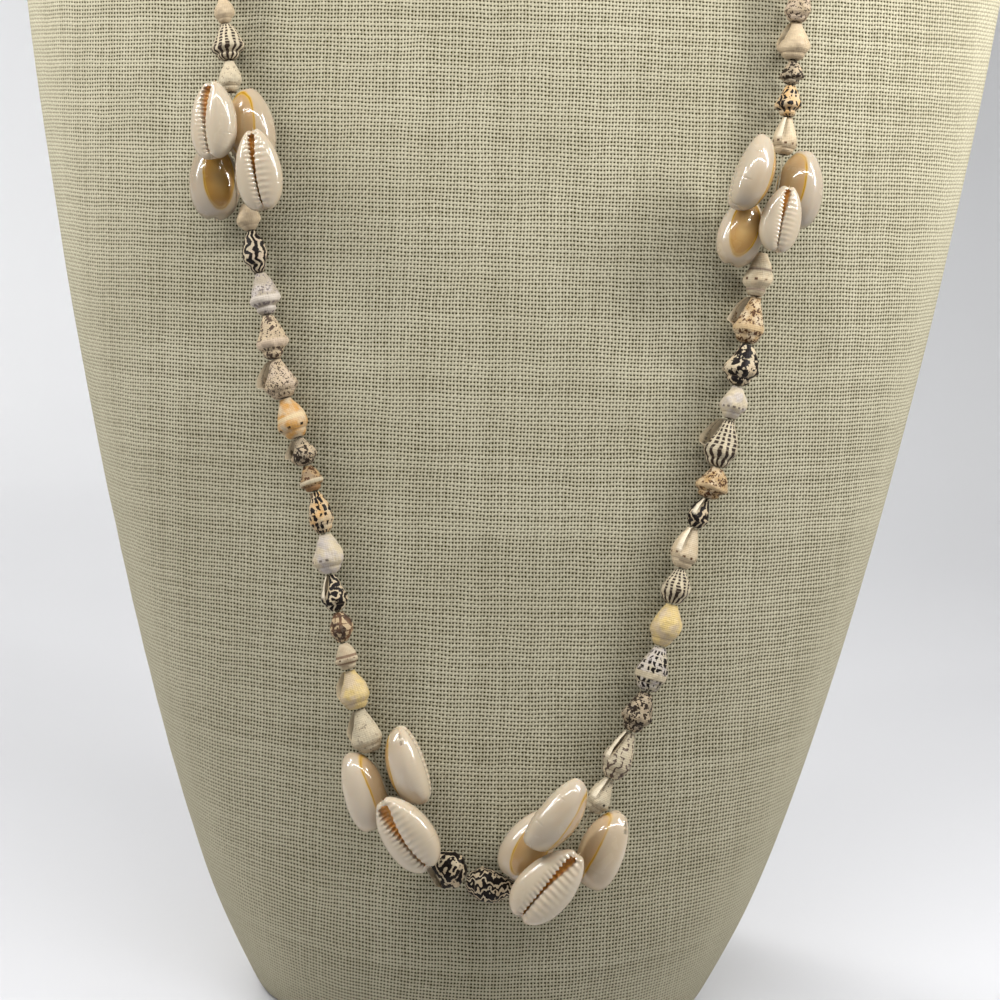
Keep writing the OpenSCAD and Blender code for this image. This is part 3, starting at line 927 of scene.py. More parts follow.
class Look(Enum):
    """The kinds of small shell that the necklace mixes."""

    BEIGE = ShellFinish("beige", CREAM_TONE, BEIGE_TONE, BROWN_TONE, gloss=0.28)
    CREAM = ShellFinish("cream", (0.49, 0.395, 0.265), CREAM_TONE, BROWN_TONE, dots=(0.3,), gloss=0.25)
    YELLOW = ShellFinish("yellow", (0.55, 0.41, 0.17), CREAM_TONE, gloss=0.22)
    CHALK = ShellFinish("chalk", WHITE_TONE, CHALK_TONE, GREY_TONE, Marks.SPECKLE, 1500.0, 0.25, gloss=0.5)
    WHITE = ShellFinish(
        "white", WHITE_TONE, CHALK_TONE, DARK_TONE, Marks.SPECKLE, 1500.0, 0.17, dots=(0.34,)
    )
    DOTTED = ShellFinish(
        "dotted", WHITE_TONE, LILAC_TONE, (0.13, 0.1, 0.08), dots=(0.34,), dot_count=14.0, gloss=0.5
    )
    LAVENDER = ShellFinish(
        "lavender", (0.32, 0.27, 0.20), LILAC_TONE, (0.16, 0.13, 0.12), Marks.SPECKLE, 1500.0, 0.26,
        bands=((0.35, 0.08), (0.12, 0.05)), band=(0.50, 0.44, 0.37), dots=(0.235,), dot_count=16.0,
    )
    SPECKLED = ShellFinish(
        "speckled", PINK_TONE, BEIGE_TONE, (0.05, 0.032, 0.02), Marks.SPECKLE, 2700.0, 0.36
    )
    SPECKLED_TOP = ShellFinish(
        "speckled_top", CREAM_TONE, BEIGE_TONE, (0.07, 0.045, 0.03), Marks.SPECKLE, 1700.0, 0.42,
        bands=((0.34, 0.09),), band=PINK_TONE, dots=(0.22,), dot_count=8.0,
    )
    OCHRE = ShellFinish(
        "ochre", (0.47, 0.24, 0.06), CREAM_TONE, DARK_TONE, bands=((0.5, 0.05),), band=(0.53, 0.41, 0.24),
        dots=(0.26,), dot_count=7.0,
    )
    GREY = ShellFinish("grey", BEIGE_TONE, GREY_TONE, (0.025, 0.016, 0.01), Marks.SPECKLE, 1900.0, 0.5)
    TAN = ShellFinish(
        "tan", CREAM_TONE, TAN_TONE, BROWN_TONE, Marks.SPECKLE, 2000.0, 0.42, bands=((0.34, 0.06),),
        band=(0.46, 0.33, 0.18), dots=(0.22,), dot_count=11.0,
    )
    TAN_BANDED = ShellFinish(
        "tan_banded", TAN_TONE, (0.27, 0.19, 0.11), BROWN_TONE, Marks.SPECKLE, 1700.0, 0.5,
        bands=((0.36, 0.08),), band=WHITE_TONE, spire=(0.26, 0.14, 0.06),
    )
    ORANGE = ShellFinish(
        "orange", (0.53, 0.32, 0.13), CREAM_TONE, DARK_TONE, Marks.DASHES, lines=11.0, zigs=5.0, cover=0.5
    )
    BANDED = ShellFinish(
        "banded", WHITE_TONE, BEIGE_TONE, BROWN_TONE, bands=((0.24, 0.03), (0.5, 0.05)),
        band=(0.17, 0.10, 0.06), dots=(0.38,),
    )
    PATCHED = ShellFinish(
        "patched", (0.05, 0.028, 0.018), (0.14, 0.07, 0.035), (0.46, 0.34, 0.20), Marks.DASHES,
        lines=8.0, zigs=4.0, cover=0.46,
    )
    ZIGZAG = ShellFinish(
        "zigzag", WHITE_TONE, PINK_TONE, DARK_TONE, Marks.ZIGZAG, cover=0.62, lines=9.0, zigs=3.5,
        breaks=0.2,
    )
    FINE_ZIGZAG = ShellFinish(
        "fine_zigzag", WHITE_TONE, CREAM_TONE, DARK_TONE, Marks.ZIGZAG, cover=0.6, lines=12.0, zigs=8.0,
        breaks=0.38,
    )
    BOLD = ShellFinish(
        "bold", WHITE_TONE, CREAM_TONE, DARK_TONE, Marks.ZIGZAG, cover=0.66, lines=6.0, zigs=3.0,
        breaks=0.32,
    )
    PATCHES = ShellFinish(
        "patches", WHITE_TONE, CREAM_TONE, DARK_TONE, Marks.DASHES, lines=7.0, zigs=4.0, cover=0.74
    )
    STREAKED = ShellFinish(
        "streaked", WHITE_TONE, CHALK_TONE, (0.03, 0.018, 0.012), Marks.STREAKS, lines=13.0, cover=0.52,
        breaks=0.13,
    )
    RIBBED = ShellFinish(
        "ribbed", WHITE_TONE, CHALK_TONE, (0.09, 0.06, 0.045), Marks.STREAKS, cover=0.3, lines=8.0,
        breaks=0.3,
    )
    SPECKLED_BAND = ShellFinish(
        "speckled_band", LILAC_TONE, CHALK_TONE, DARK_TONE, Marks.DASHES, lines=15.0, zigs=8.0, cover=0.5,
        bands=((0.34, 0.07),), band=WHITE_TONE,
    )
    SPIRALLED = ShellFinish(
        "spiralled", WHITE_TONE, CREAM_TONE, BROWN_TONE, bands=((0.6, 0.03), (0.14, 0.03)),
        band=(0.19, 0.14, 0.10), dots=(0.36,), dot_count=9.0,
    )


class Form(Enum):
    """Forms of small shell, each with its outline from the low spire to the narrow end."""

    DOVE = "dove"
    SHOULDER = "shoulder"
    WING = "wing"
    BARREL = "barrel"
    KNOBBED = "knobbed"


@dataclass(frozen=True)
class FormSizes:
    """What sets one form of small shell apart, in shares of its length or radius."""

    outline: tuple[tuple[float, float], ...]
    step: float
    lip: float
    flare: float
    ribs: int = 0
    rib: float = 0.0


DOVE_OUTLINE = (
    (0, 0.4), (0.05, 0.6), (0.12, 0.72), (0.165, 0.72), (0.2, 0.82), (0.28, 0.96), (0.38, 1), (0.5, 0.96),
    (0.64, 0.86), (0.78, 0.7), (0.9, 0.52), (1, 0.4),
)
SHOULDER_OUTLINE = (
    (0, 0.36), (0.05, 0.56), (0.12, 0.67), (0.17, 0.64), (0.21, 0.72), (0.26, 0.88), (0.32, 0.98),
    (0.39, 1.0), (0.46, 0.94), (0.55, 0.89), (0.68, 0.8), (0.82, 0.65), (0.93, 0.47), (1, 0.38),
)
BARREL_OUTLINE = (
    (0, 0.34), (0.05, 0.5), (0.12, 0.64), (0.17, 0.66), (0.21, 0.76), (0.32, 0.95), (0.45, 1),
    (0.6, 0.95), (0.75, 0.8), (0.88, 0.58), (1, 0.38),
)
FORM_SIZES: dict[Form, FormSizes] = {
    Form.DOVE: FormSizes(DOVE_OUTLINE, 0.4, 0.2, 0.03, 14, 0.015),
    Form.SHOULDER: FormSizes(SHOULDER_OUTLINE, 0.4, 0.2, 0.03, 13, 0.02),
    Form.WING: FormSizes(DOVE_OUTLINE, 0.42, 0.08, 0.34, 12, 0.02),
    Form.BARREL: FormSizes(BARREL_OUTLINE, 0.34, 0.16, 0.02),
    Form.KNOBBED: FormSizes(SHOULDER_OUTLINE, 0.4, 0.18, 0.04, 9, 0.07),
}


def new_ball(name: str, segments: int, rings: int) -> tuple[bpy.types.Object, np.ndarray, np.ndarray]:
    """Adds a ball with its poles on Z and numbers its vertices.

    Args:
        name: Name of the new object.
        segments: Number of segments round the ball.
        rings: Number of rings from pole to pole.

    Returns:
        The object, each vertex's ring from the lower pole, and its segment.
    """
    bpy.ops.object.select_all(action="DESELECT")
    bpy.ops.mesh.primitive_uv_sphere_add(segments=segments, ring_count=rings, radius=1, calc_uvs=False)
    ball = bpy.context.object
    ball.name = name
    points = points_of(ball.data)
    ring = np.rint(rings * (1 - np.arccos(np.clip(points[:, 2], -1, 1)) / math.pi)).astype(int)
    turn = np.arctan2(points[:, 1], points[:, 0]) / math.tau
    segment = np.rint(turn * segments).astype(int) % segments
    return ball, ring, segment


def along_and_off(points: np.ndarray, start: np.ndarray, axis: np.ndarray) -> tuple[np.ndarray, np.ndarray]:
    """Measures how far along a line each point is, and how far off it."""
    along = (points - start) @ axis
    return along, np.linalg.norm(points - start - along[:, None] * axis, axis=1)


def write_vectors(mesh: bpy.types.Mesh, name: str, values: np.ndarray) -> None:
    """Writes one vector per vertex as an attribute of the mesh."""
    layer = mesh.attributes.new(name, "FLOAT_VECTOR", "POINT")
    layer.data.foreach_set("vector", np.asarray(values, dtype=float).ravel())


def write_shell_uv(mesh: bpy.types.Mesh, around: np.ndarray, along: np.ndarray, poles: np.ndarray) -> None:
    """Writes the UV map of a shell, round it and along it.

    Args:
        mesh: The shell's mesh.
        around: Each vertex's share of the way round, from the lip.
        along: Each vertex's share of the length.
        poles: Whether a vertex is a pole, whose way round follows its face.
    """
    full_turn = 1.25
    layer = mesh.uv_layers.new(name="shell")
    for face in mesh.polygons:
        corners = [mesh.loops[k].vertex_index for k in face.loop_indices]
        turns = {v: around[v] for v in corners if not poles[v]}
        if max(turns.values()) - min(turns.values()) > full_turn / 2:
            turns = {v: t + (full_turn if t < full_turn / 2 else 0) for v, t in turns.items()}
        middle = sum(turns.values()) / len(turns)
        for k, v in zip(face.loop_indices, corners):
            layer.data[k].uv = (turns.get(v, middle), along[v])


@dataclass(frozen=True)
class CowrieRow:
    """What sets one cowrie apart.

    The gape opens the slit, the ridges run that share of the way from it to the inner side and stand
    as high as the relief says, the turn is about the shell's length, in degrees, the shade is painted
    shade, how much darker than the palest shell its colour is made, and the patch is how strongly its
    golden back shows.
    """

    gape: float = 0.25
    turn: float = 0.0
    width: float = 1.0
    ridges: float = 0.8
    relief: float = 1.0
    # Painted shade that darkens the whole shell's colour
    shade: float = 0.0
    patch: float = 0.7


COWRIE_ROWS: dict[str, CowrieRow] = {
    "cowrie_lower_left_1": CowrieRow(turn=20, width=0.92, patch=0.5),
    "cowrie_lower_left_2": CowrieRow(turn=34),
    "cowrie_lower_left_3": CowrieRow(gape=1.1),
    "cowrie_lower_right_1": CowrieRow(shade=0.06, patch=0.5),
    "cowrie_lower_right_2": CowrieRow(turn=-22, patch=0.4),
    "cowrie_lower_right_3": CowrieRow(gape=0.6),
    "cowrie_lower_right_4": CowrieRow(),
    "cowrie_upper_left_1": CowrieRow(gape=0.9, turn=24, ridges=0.16, relief=0.6, shade=0.12),
    "cowrie_upper_left_2": CowrieRow(shade=0.2, patch=0.55),
    "cowrie_upper_left_3": CowrieRow(turn=12, shade=0.3, patch=0.95),
    "cowrie_upper_left_4": CowrieRow(gape=0.55, width=0.9, relief=0.75, shade=0.16),
    "cowrie_upper_right_1": CowrieRow(turn=-14, shade=0.18),
    "cowrie_upper_right_2": CowrieRow(turn=-12, shade=0.24, patch=0.65),
    "cowrie_upper_right_3": CowrieRow(gape=0.6, width=0.96, relief=0.6, shade=0.12),
    "cowrie_upper_right_4": CowrieRow(shade=0.04, patch=0.8),
}


@dataclass
class CowrieMaker:
    """Models one ring cowrie in detail and sets copies of it where the CAD cowries are.

    Sizes are shares of the shell's length. Each ring of the shell has the back's points first, then
    the base from the inner side over the slit to the outer lip. The outer lip has the most teeth.
    """

    segments: int = 70
    back_points: int = 28
    slit_points: int = 12
    rings: int = 140
    half_width: float = 0.305
    back_height: float = 0.31
    base_height: float = 0.16
    taper: float = 0.44
    point: float = 0.12
    narrowing: float = 0.16
    callus: float = 0.05
    teeth: int = 18
    inner_share: float = 0.76
    lip_shift: float = 2.2
    tooth_height: float = 0.0095
    crest_level: float = 0.4
    tooth_depth: float = 0.012
    inner_tooth_depth: float = 0.004
    slit_side: float = 0.03
    slit_bow: float = 0.035
    slit_drift: float = 0.015
    slit_half: float = 0.0015
    slit_start: Span = (-0.99, -0.8)
    slit_end: Span = (0.74, 0.95)
    slit_least: float = 0.005
    slit_open: float = 0.012
    slit_gape: float = 0.058
    gape_over: Span = (-0.5, 0.75)
    gape_power: float = 1.3
    slit_foot: float = 0.45
    slit_round: float = 0.6
    slit_floor: float = 0.25
    slit_fall: float = 0.5
    outer_ridges: float = 0.42
    ridge_fade: Span = (0.1, 1.0)
    ridge_sides: Span = (0.9, 1.3)
    ridge_sharp: float = 1.2
    end_fade: Span = (0.0, 0.2)
    dip: float = 0.02
    dip_edge: float = 0.05
    base_power: float = 0.8
    belly: Span = (2.5, 0.55)
    notch: float = 0.05
    notch_spread: float = 0.05
    notch_from: Span = (0.16, -0.06)
    notch_ends: Span = (0.74, 1.0)
    golden_width: float = 0.62
    golden_length: float = 0.8
    golden_shift: float = 0.02

    def back(self, half: float, height: float) -> tuple[np.ndarray, np.ndarray]:
        """Works out the back of one ring, with the thick callus along each margin.

        Args:
            half: Half the ring's width.
            height: The back's height.

        Returns:
            The points' places across and up.
        """
        turn = np.linspace(0, math.pi, self.back_points, endpoint=False)
        callus = 1 + self.callus * hump(np.abs(np.cos(turn)), 0.9, 0.1)
        return half * np.cos(turn), height * np.sin(turn) ** 0.9 * callus

    def slit_half_width(self, s: float, gape: float) -> float:
        """Works out half the slit's width, which closes at both ends."""
        gaping = self.slit_gape * step_at(*self.gape_over, s) ** self.gape_power
        return (self.slit_least + gape * (self.slit_open + gaping)) * self.closing(s) + self.slit_half

    def closing(self, s: float) -> float:
        """Works out how far the slit is there: 1 along most of the shell and 0 at its ends."""
        return step_at(*self.slit_start, s) * (1 - step_at(*self.slit_end, s))

    def section(self, s: float, row: CowrieRow) -> tuple[np.ndarray, np.ndarray]:
        """Works out one ring of the shell.

        Args:
            s: Place along the shell, from -1 at the broad end to 1 at the narrow end.
            row: What sets the shell apart.

        Returns:
            The ring's points, and for each its ring mark, depth and tooth mark.
        """
        taper = max(1 - s * s, 0.0) ** (self.taper + self.point * step_at(-0.2, 0.9, s))
        half = self.half_width * taper * (1 - self.narrowing * s)
        base = self.base_height * max(taper, 1e-6) ** self.base_power
        back_x, back_z = self.back(half, self.back_height * taper * (1 - 0.1 * s))
        wide = self.slit_half_width(s, row.gape)
        phase = math.cos(math.pi * self.teeth * self.inner_share * s)
        other_phase = math.cos(math.pi * self.teeth * s + self.lip_shift)
        lip_edge = wide - min(self.tooth_depth, 0.45 * wide) * other_phase
        inner_edge = wide - min(self.inner_tooth_depth, 0.2 * wide) * phase
        middle = self.slit_side - self.slit_bow * s * s + self.slit_drift * s
        side_points = (self.segments - self.back_points - self.slit_points) // 2
        share = np.linspace(0, 1, side_points, endpoint=False)
        share = 0.55 * np.sin(share * math.pi / 2) + 0.45 * share
        slit_turn = np.linspace(0, math.pi, self.slit_points)
        slit_reach = np.where(slit_turn < math.pi / 2, inner_edge, lip_edge)
        pinch = self.slit_foot + (1 - self.slit_foot) * np.abs(np.cos(slit_turn))
        slit_x = middle - slit_reach * np.cos(slit_turn) * pinch
        slit_depth = np.sin(slit_turn) ** self.slit_round
        left_x = -half + (middle - inner_edge + half) * share
        right_x = half + (middle + lip_edge - half) * share
        base_x = np.concatenate([left_x, slit_x, right_x[::-1]])
        level = np.zeros(side_points)
        cut = np.concatenate([level, slit_depth, level])
        off = base_x - middle
        inner = off < 0
        reach = np.where(inner, row.ridges * (middle + half), self.outer_ridges * (half - middle))
        away = (np.abs(off) - np.where(inner, inner_edge, lip_edge)) / np.maximum(reach, 1e-9)
        ends = step_at(*self.end_fade, 1 - abs(s))
        fade = (1 - smooth_step(*self.ridge_fade, away)) * ends
        crest = (0.5 + 0.5 * np.where(inner, phase, other_phase)) ** self.ridge_sharp
        height = row.relief * self.tooth_height * np.where(inner, *self.ridge_sides)
        ridge = height * (crest - self.crest_level) * fade
        dip = self.dip * (1 + row.gape) * hump(off, 0, wide + self.dip_edge) * ends
        flat, curve = self.belly
        bottom = -base * np.clip(1 - np.abs(base_x / max(half, 1e-9)) ** flat, 0, 1) ** curve
        deep = base * (self.slit_floor + self.slit_fall * self.closing(s)) * min(1.0, taper * 1.6)
        x = np.concatenate([back_x, base_x])
        z = np.concatenate([back_z, bottom + deep * cut - ridge + dip])
        notch = self.notch * hump(x, middle, self.notch_spread) * smooth_step(*self.notch_from, z)
        y = s * 0.5 - math.copysign(1, s) * notch * step_at(*self.notch_ends, abs(s))
        plain = np.zeros(self.back_points)
        across = x / (self.half_width * self.golden_width)
        ring = np.hypot(across, (s - self.golden_shift) / self.golden_length)
        marks = [ring, np.concatenate([plain, cut]), np.concatenate([plain, fade * crest])]
        return np.stack([x, y, z], axis=1), np.stack(marks, axis=1)

    def model(self, row: CowrieRow) -> bpy.types.Object:
        """Models a cowrie of length 1 about its own middle.

        Args:
            row: What sets the shell apart.

        Returns:
            The shell, with its narrow end up +Y and its back up +Z.
        """
        shell, ring, segment = new_ball("cowrie_model", self.segments, self.rings)
        places = np.sin(np.linspace(-math.pi / 2, math.pi / 2, self.rings + 1))
        sections = [self.section(float(s), row) for s in places]
        points = np.array([s[0] for s in sections])[ring, segment]
        marks = np.array([s[1] for s in sections])[ring, segment]
        for pole, side in ((0, -1), (self.rings, 1)):
            points[ring == pole] = (0, side * 0.5, 0)
            marks[ring == pole] = (2, 0, 0)
        move_points(shell.data, points)
        write_vectors(shell.data, "own_place", points)
        write_vectors(shell.data, "own_marks", marks)
        edit_all(shell)
        bpy.ops.mesh.remove_doubles(threshold=1e-5)
        bpy.ops.mesh.normals_make_consistent(inside=False)
        leave_edit()
        bpy.ops.object.shade_smooth()
        return shell

    def place(self, node: str) -> Matrix:
        """Finds where a CAD cowrie lies from the spread of its volume.

        Args:
            node: Name of the CAD node.

        Returns:
            The matrix that takes a shell of length 1 to its place.
        """
        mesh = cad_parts[node].data
        points = points_of(mesh)
        mesh.calc_loop_triangles()
        faces = np.array([list(t.vertices) for t in mesh.loop_triangles])
        corners = points[faces].transpose(1, 0, 2)
        volume = np.einsum("ij,ij->i", corners[0], np.cross(corners[1], corners[2])) / 6
        centre = (corners.sum(0) * volume[:, None]).sum(0) / (4 * volume.sum())
        corners = corners - centre
        volume = np.einsum("ij,ij->i", corners[0], np.cross(corners[1], corners[2])) / 6
        spread = sum(np.einsum("i,ij,ik->jk", volume, p, p) for p in (*corners, corners.sum(0))) / 20
        axes = np.linalg.eigh(spread)[1].T[::-1]
        third = np.einsum("i,ij->j", volume, ((corners @ axes.T) ** 3).sum(0))
        own = (points - centre) @ axes.T
        low, high = own.min(0), own.max(0)
        face_up = high[2] > -low[2]
        long_axis = axes[0] * math.copysign(1, third[0])
        up_axis = axes[2] * (1 if face_up else -1)
        side_axis = np.cross(long_axis, up_axis)
        base_share = self.base_height / (self.base_height + self.back_height)
        rise = (high[2] - low[2]) * base_share - (-low[2] if face_up else high[2])
        middle = centre + (high[:2] + low[:2]) / 2 @ axes[:2] + up_axis * rise
        turn = Matrix(np.column_stack([side_axis, long_axis, up_axis]).tolist()).to_4x4()
        return Matrix.Translation(middle.tolist()) @ turn @ Matrix.Scale(high[0] - low[0], 4)

    def build(self, finish: CowrieFinish, groups: Groups) -> list[bpy.types.Object]:
        """Makes every cowrie of the necklace.

        Args:
            finish: Their finish.
            groups: The shared node groups.

        Returns:
            The finished shells.
        """
        material = finish.material(groups)
        models: dict[tuple[float, float, float], bpy.types.Object] = {}
        shells = []
        for node, row in COWRIE_ROWS.items():
            kind = (row.gape, row.ridges, row.relief)
            if kind not in models:
                models[kind] = self.model(row)
            shell = own_copy(models[kind], node.replace("cowrie", "cowrie_shell"))
            turn = Matrix.Rotation(math.radians(row.turn), 4, "Y")
            shell.data.transform(self.place(node) @ turn @ Matrix.Diagonal((row.width, 1, 1, 1)))
            # Each shell's painted shade and patch strength go on its vertices
            for name, value in (("own_painted_shade", row.shade), ("own_patch", row.patch)):
                layer = shell.data.attributes.new(name, "FLOAT", "POINT")
                layer.data.foreach_set("value", np.full(len(shell.data.vertices), value))
            shell.data.materials.append(material)
            hand_over(shell, node)
            shells.append(shell)
        for model in models.values():
            discard(model)
        return shells


@dataclass
class SmallShellMaker:
    """Models the forms of small shell once each, with radius 1 and length 1.

    Each ring of a shell has the outer skin's points first, once round from the lip, then the inner
    ones of the opening, back under the lip.
    """

    outer: int = 40
    inner: int = 12
    rings: int = 52
    aperture_from: float = 0.34
    aperture_full: float = 0.44
    aperture_end: float = 0.985
    slant: float = 0.07
    hole: float = 0.2
    hole_rings: float = 0.055
    hole_ends: Span = (0.1, 0.92)
    ring_ends: tuple[float, ...] = (0, 0.04, 0.07, 0.93, 0.96, 1)
    step_over: Span = (0.2, 0.8)
    step_power: float = 2.2
    wall_inset: float = 0.06
    lip_turn: float = 0.85
    lip_round: float = 0.4
    lip_edge: Span = (0.03, 0.1)
    cave_from: Span = (0.0, 0.12)
    cave_to: Span = (0.15, 0.42)
    rib_middle: float = 0.36
    rib_spread: float = 0.2
    lip_spread: float = 0.07
    under_lip: float = math.radians(66)
    crease: float = math.radians(50)

    def outline_at(self, form: FormSizes, t: np.ndarray) -> np.ndarray:
        """Reads the radius of a form's outline, softened, at shares of the length.

        Args:
            form: The form's sizes.
            t: Shares of the length, from the low spire.

        Returns:
            The radii as shares of the widest one.
        """
        corners = np.array(form.outline)
        fine = np.linspace(-0.1, 1.1, 601)
        radii = np.interp(fine, corners[:, 0], corners[:, 1])
        weights = np.exp(-(np.linspace(-2, 2, 25) ** 2))
        return np.interp(t, fine, np.convolve(radii, weights / weights.sum(), "same"))

    def model(self, form: Form) -> bpy.types.Object:
        """Models one form of small shell.

        Args:
            form: The form.

        Returns:
            The shell, with its low spire at the origin and its narrow end up +Z. The opening faces +X.
        """
        sizes = FORM_SIZES[form]
        shell, ring, segment = new_ball("small_shell_model", self.outer + self.inner, self.rings)
        share = ring / self.rings
        t = np.interp(share, self.ring_ends, [self.hole_ends[0], 0, 0, 1, 1, self.hole_ends[1]])
        drilled = (share < self.hole_rings) | (share > 1 - self.hole_rings)
        poles = (ring == 0) | (ring == self.rings)
        on_skin = segment < self.outer
        around = np.where(on_skin, segment / self.outer, 1.0)
        bridge = np.clip((segment - self.outer) / self.inner, 0, 1)
        turn_share = np.where(on_skin, around, 1 - bridge)
        coil = t + self.slant * (turn_share - 0.5) * np.sin(math.pi * t) ** 0.5
        radius = np.where(drilled, self.hole, self.outline_at(sizes, coil))
        radius = np.where(poles, 0.0, radius)
        ending = (1 - smooth_step(self.aperture_end, 1.0, t)) * ~drilled
        opening = smooth_step(self.aperture_from, self.aperture_full, t) * ending
        step = sizes.step * smooth_step(*self.step_over, t) * ending
        phi = math.tau * around
        rib = 1 + sizes.rib * np.cos(sizes.ribs * phi) * hump(coil, self.rib_middle, self.rib_spread)
        flare = sizes.flare * opening * hump(around, 0, self.lip_spread)
        skin_radius = radius * rib * (1 + flare - step * around ** self.step_power)
        wall = 1 - step - self.wall_inset * opening
        lip_wall = 1 + (sizes.flare - sizes.lip) * opening
        cave = np.where(bridge < 0.5, wall, wall + (lip_wall - wall) * (bridge - 0.5) * 2)
        round_lip = np.where(bridge > self.lip_turn, self.lip_round * sizes.lip * opening, 0)
        cave_radius = np.where(opening > 0, radius * (cave + round_lip), radius)
        under = self.under_lip * np.sin(math.pi * bridge) ** 0.8 * opening
        angle = np.where(on_skin, -phi, -under)
        reach = np.where(on_skin, skin_radius, cave_radius)
        move_points(shell.data, np.stack([reach * np.cos(angle), reach * np.sin(angle), t], axis=1))
        inside = smooth_step(*self.cave_from, bridge) * (1 - smooth_step(*self.cave_to, bridge)) * opening
        # The depth is where the material paints shade: deep in the opening's cave and in the drilled holes
        depth = np.where(drilled, 1.0, np.where(on_skin, 0, inside))
        lip = np.where(on_skin, 1 - smooth_step(*self.lip_edge, around), 1.0) * opening
        write_vectors(shell.data, "own_marks", np.stack([lip, depth, coil], axis=1))
        write_shell_uv(shell.data, segment / self.outer, coil, poles)
        edit_all(shell)
        bpy.ops.mesh.remove_doubles(threshold=1e-4)
        bpy.ops.mesh.dissolve_degenerate(threshold=1e-4)
        bpy.ops.mesh.normals_make_consistent(inside=False)
        leave_edit()
        bpy.ops.object.shade_smooth_by_angle(angle=self.crease)
        return shell


def roughen(mesh: bpy.types.Mesh, seed: int, amount: float) -> None:
    """Makes a shell uneven with a few slow waves, different for each seed.

    Args:
        mesh: The shell's mesh, of radius and length 1 about the Z axis.
        seed: Seed of the waves.
        amount: Height of the unevenness as a share of the radius.
    """
    wave_heights = (1.0, 1.0, 0.7, 0.7, 0.45, 0.45, 0.3)
    stretch = np.array([1, 1, 2.2])
    bend_spread = 0.05
    points = points_of(mesh)
    waves = np.random.default_rng(seed)
    lift = np.zeros(len(points))
    for height in wave_heights:
        reach = waves.uniform(2.0, 3.5, 3) / height * stretch
        lift += height * np.sin(points @ (reach * waves.choice([-1, 1], 3)) + waves.uniform(0, math.tau))
    bend = waves.normal(0, bend_spread, 2)
    fade = np.sin(math.pi * np.clip(points[:, 2], 0, 1)) ** 0.5
    points[:, :2] = points[:, :2] * (1 + amount * lift * fade)[:, None] + bend * fade[:, None]
    move_points(mesh, points)


@dataclass
class ThreadRoute:
    """The places along the CAD thread where it has a ring, which are also the ends of the shells."""

    near: float = 0.9 * MM
    reach: float = 10 * MM
    shortest: float = 4 * MM
    beside: float = 1.3 * MM
    amid: Span = (0.2, 0.8)
    widest: float = 0.97
    stops: np.ndarray = field(init=False)

    def __post_init__(self) -> None:
        """Groups the thread's vertices into rings and puts the rings in order."""
        points, _ = node_points("thread")
        apart = np.linalg.norm(points[:, None] - points[None], axis=2)
        group = groups_of(len(points), np.argwhere(apart < self.near))
        centres = np.array([points[group == g].mean(0) for g in range(group.max() + 1)])
        order = [int(np.argmax(centres[:, 1]))]
        left = set(range(len(centres))) - set(order)
        while left:
            last = centres[order[-1]]
            nearest = min(left, key=lambda k: float(np.linalg.norm(centres[k] - last)))
            order.append(nearest)
            left.remove(nearest)
        self.stops = centres[order]
        log.info("thread route, %d stops", len(self.stops))

    def shell_ends(self, points: np.ndarray) -> tuple[np.ndarray, np.ndarray]:
        """Finds the two stops that a shell lies between: the nearest two on either side of its middle.

        Args:
            points: The shell's vertices.

        Returns:
            The stop at its low spire and the stop at its narrow end, which is further from its widest
            place.
        """
        centre = points.mean(0)
        close = [s for s in self.stops if np.linalg.norm(s - centre) < self.reach]
        best, ends = math.inf, None
        for a, b in combinations(close, 2):
            gap = b - a
            size = float(np.linalg.norm(gap))
            share = float(np.dot(centre - a, gap)) / size ** 2
            off = float(np.linalg.norm(centre - a - share * gap))
            between = self.amid[0] < share < self.amid[1] and off < self.beside
            if between and self.shortest < size < best:
                best, ends = size, (a, b)
        a, b = ends
        along, off = along_and_off(points, a, unit(b - a))
        widest = along[off > off.max() * self.widest].mean()
        return (a, b) if widest < best / 2 else (b, a)


@dataclass(frozen=True)
class ShellRow:
    """One small shell of a string."""

    form: Form
    look: Look
    turn: float = -90.0


def rows(*entries: tuple) -> list[ShellRow]:
    """Turns short entries of form, look and turn into rows."""
    return [ShellRow(*entry) for entry in entries]


DOVE, SHOULDER, WING, BARREL, KNOBBED = Form
NAPE_MIX = rows(
    (DOVE, Look.SPECKLED), (BARREL, Look.CREAM), (SHOULDER, Look.CHALK), (KNOBBED, Look.TAN),
    (DOVE, Look.ZIGZAG), (DOVE, Look.ORANGE), (WING, Look.LAVENDER, 20),
)
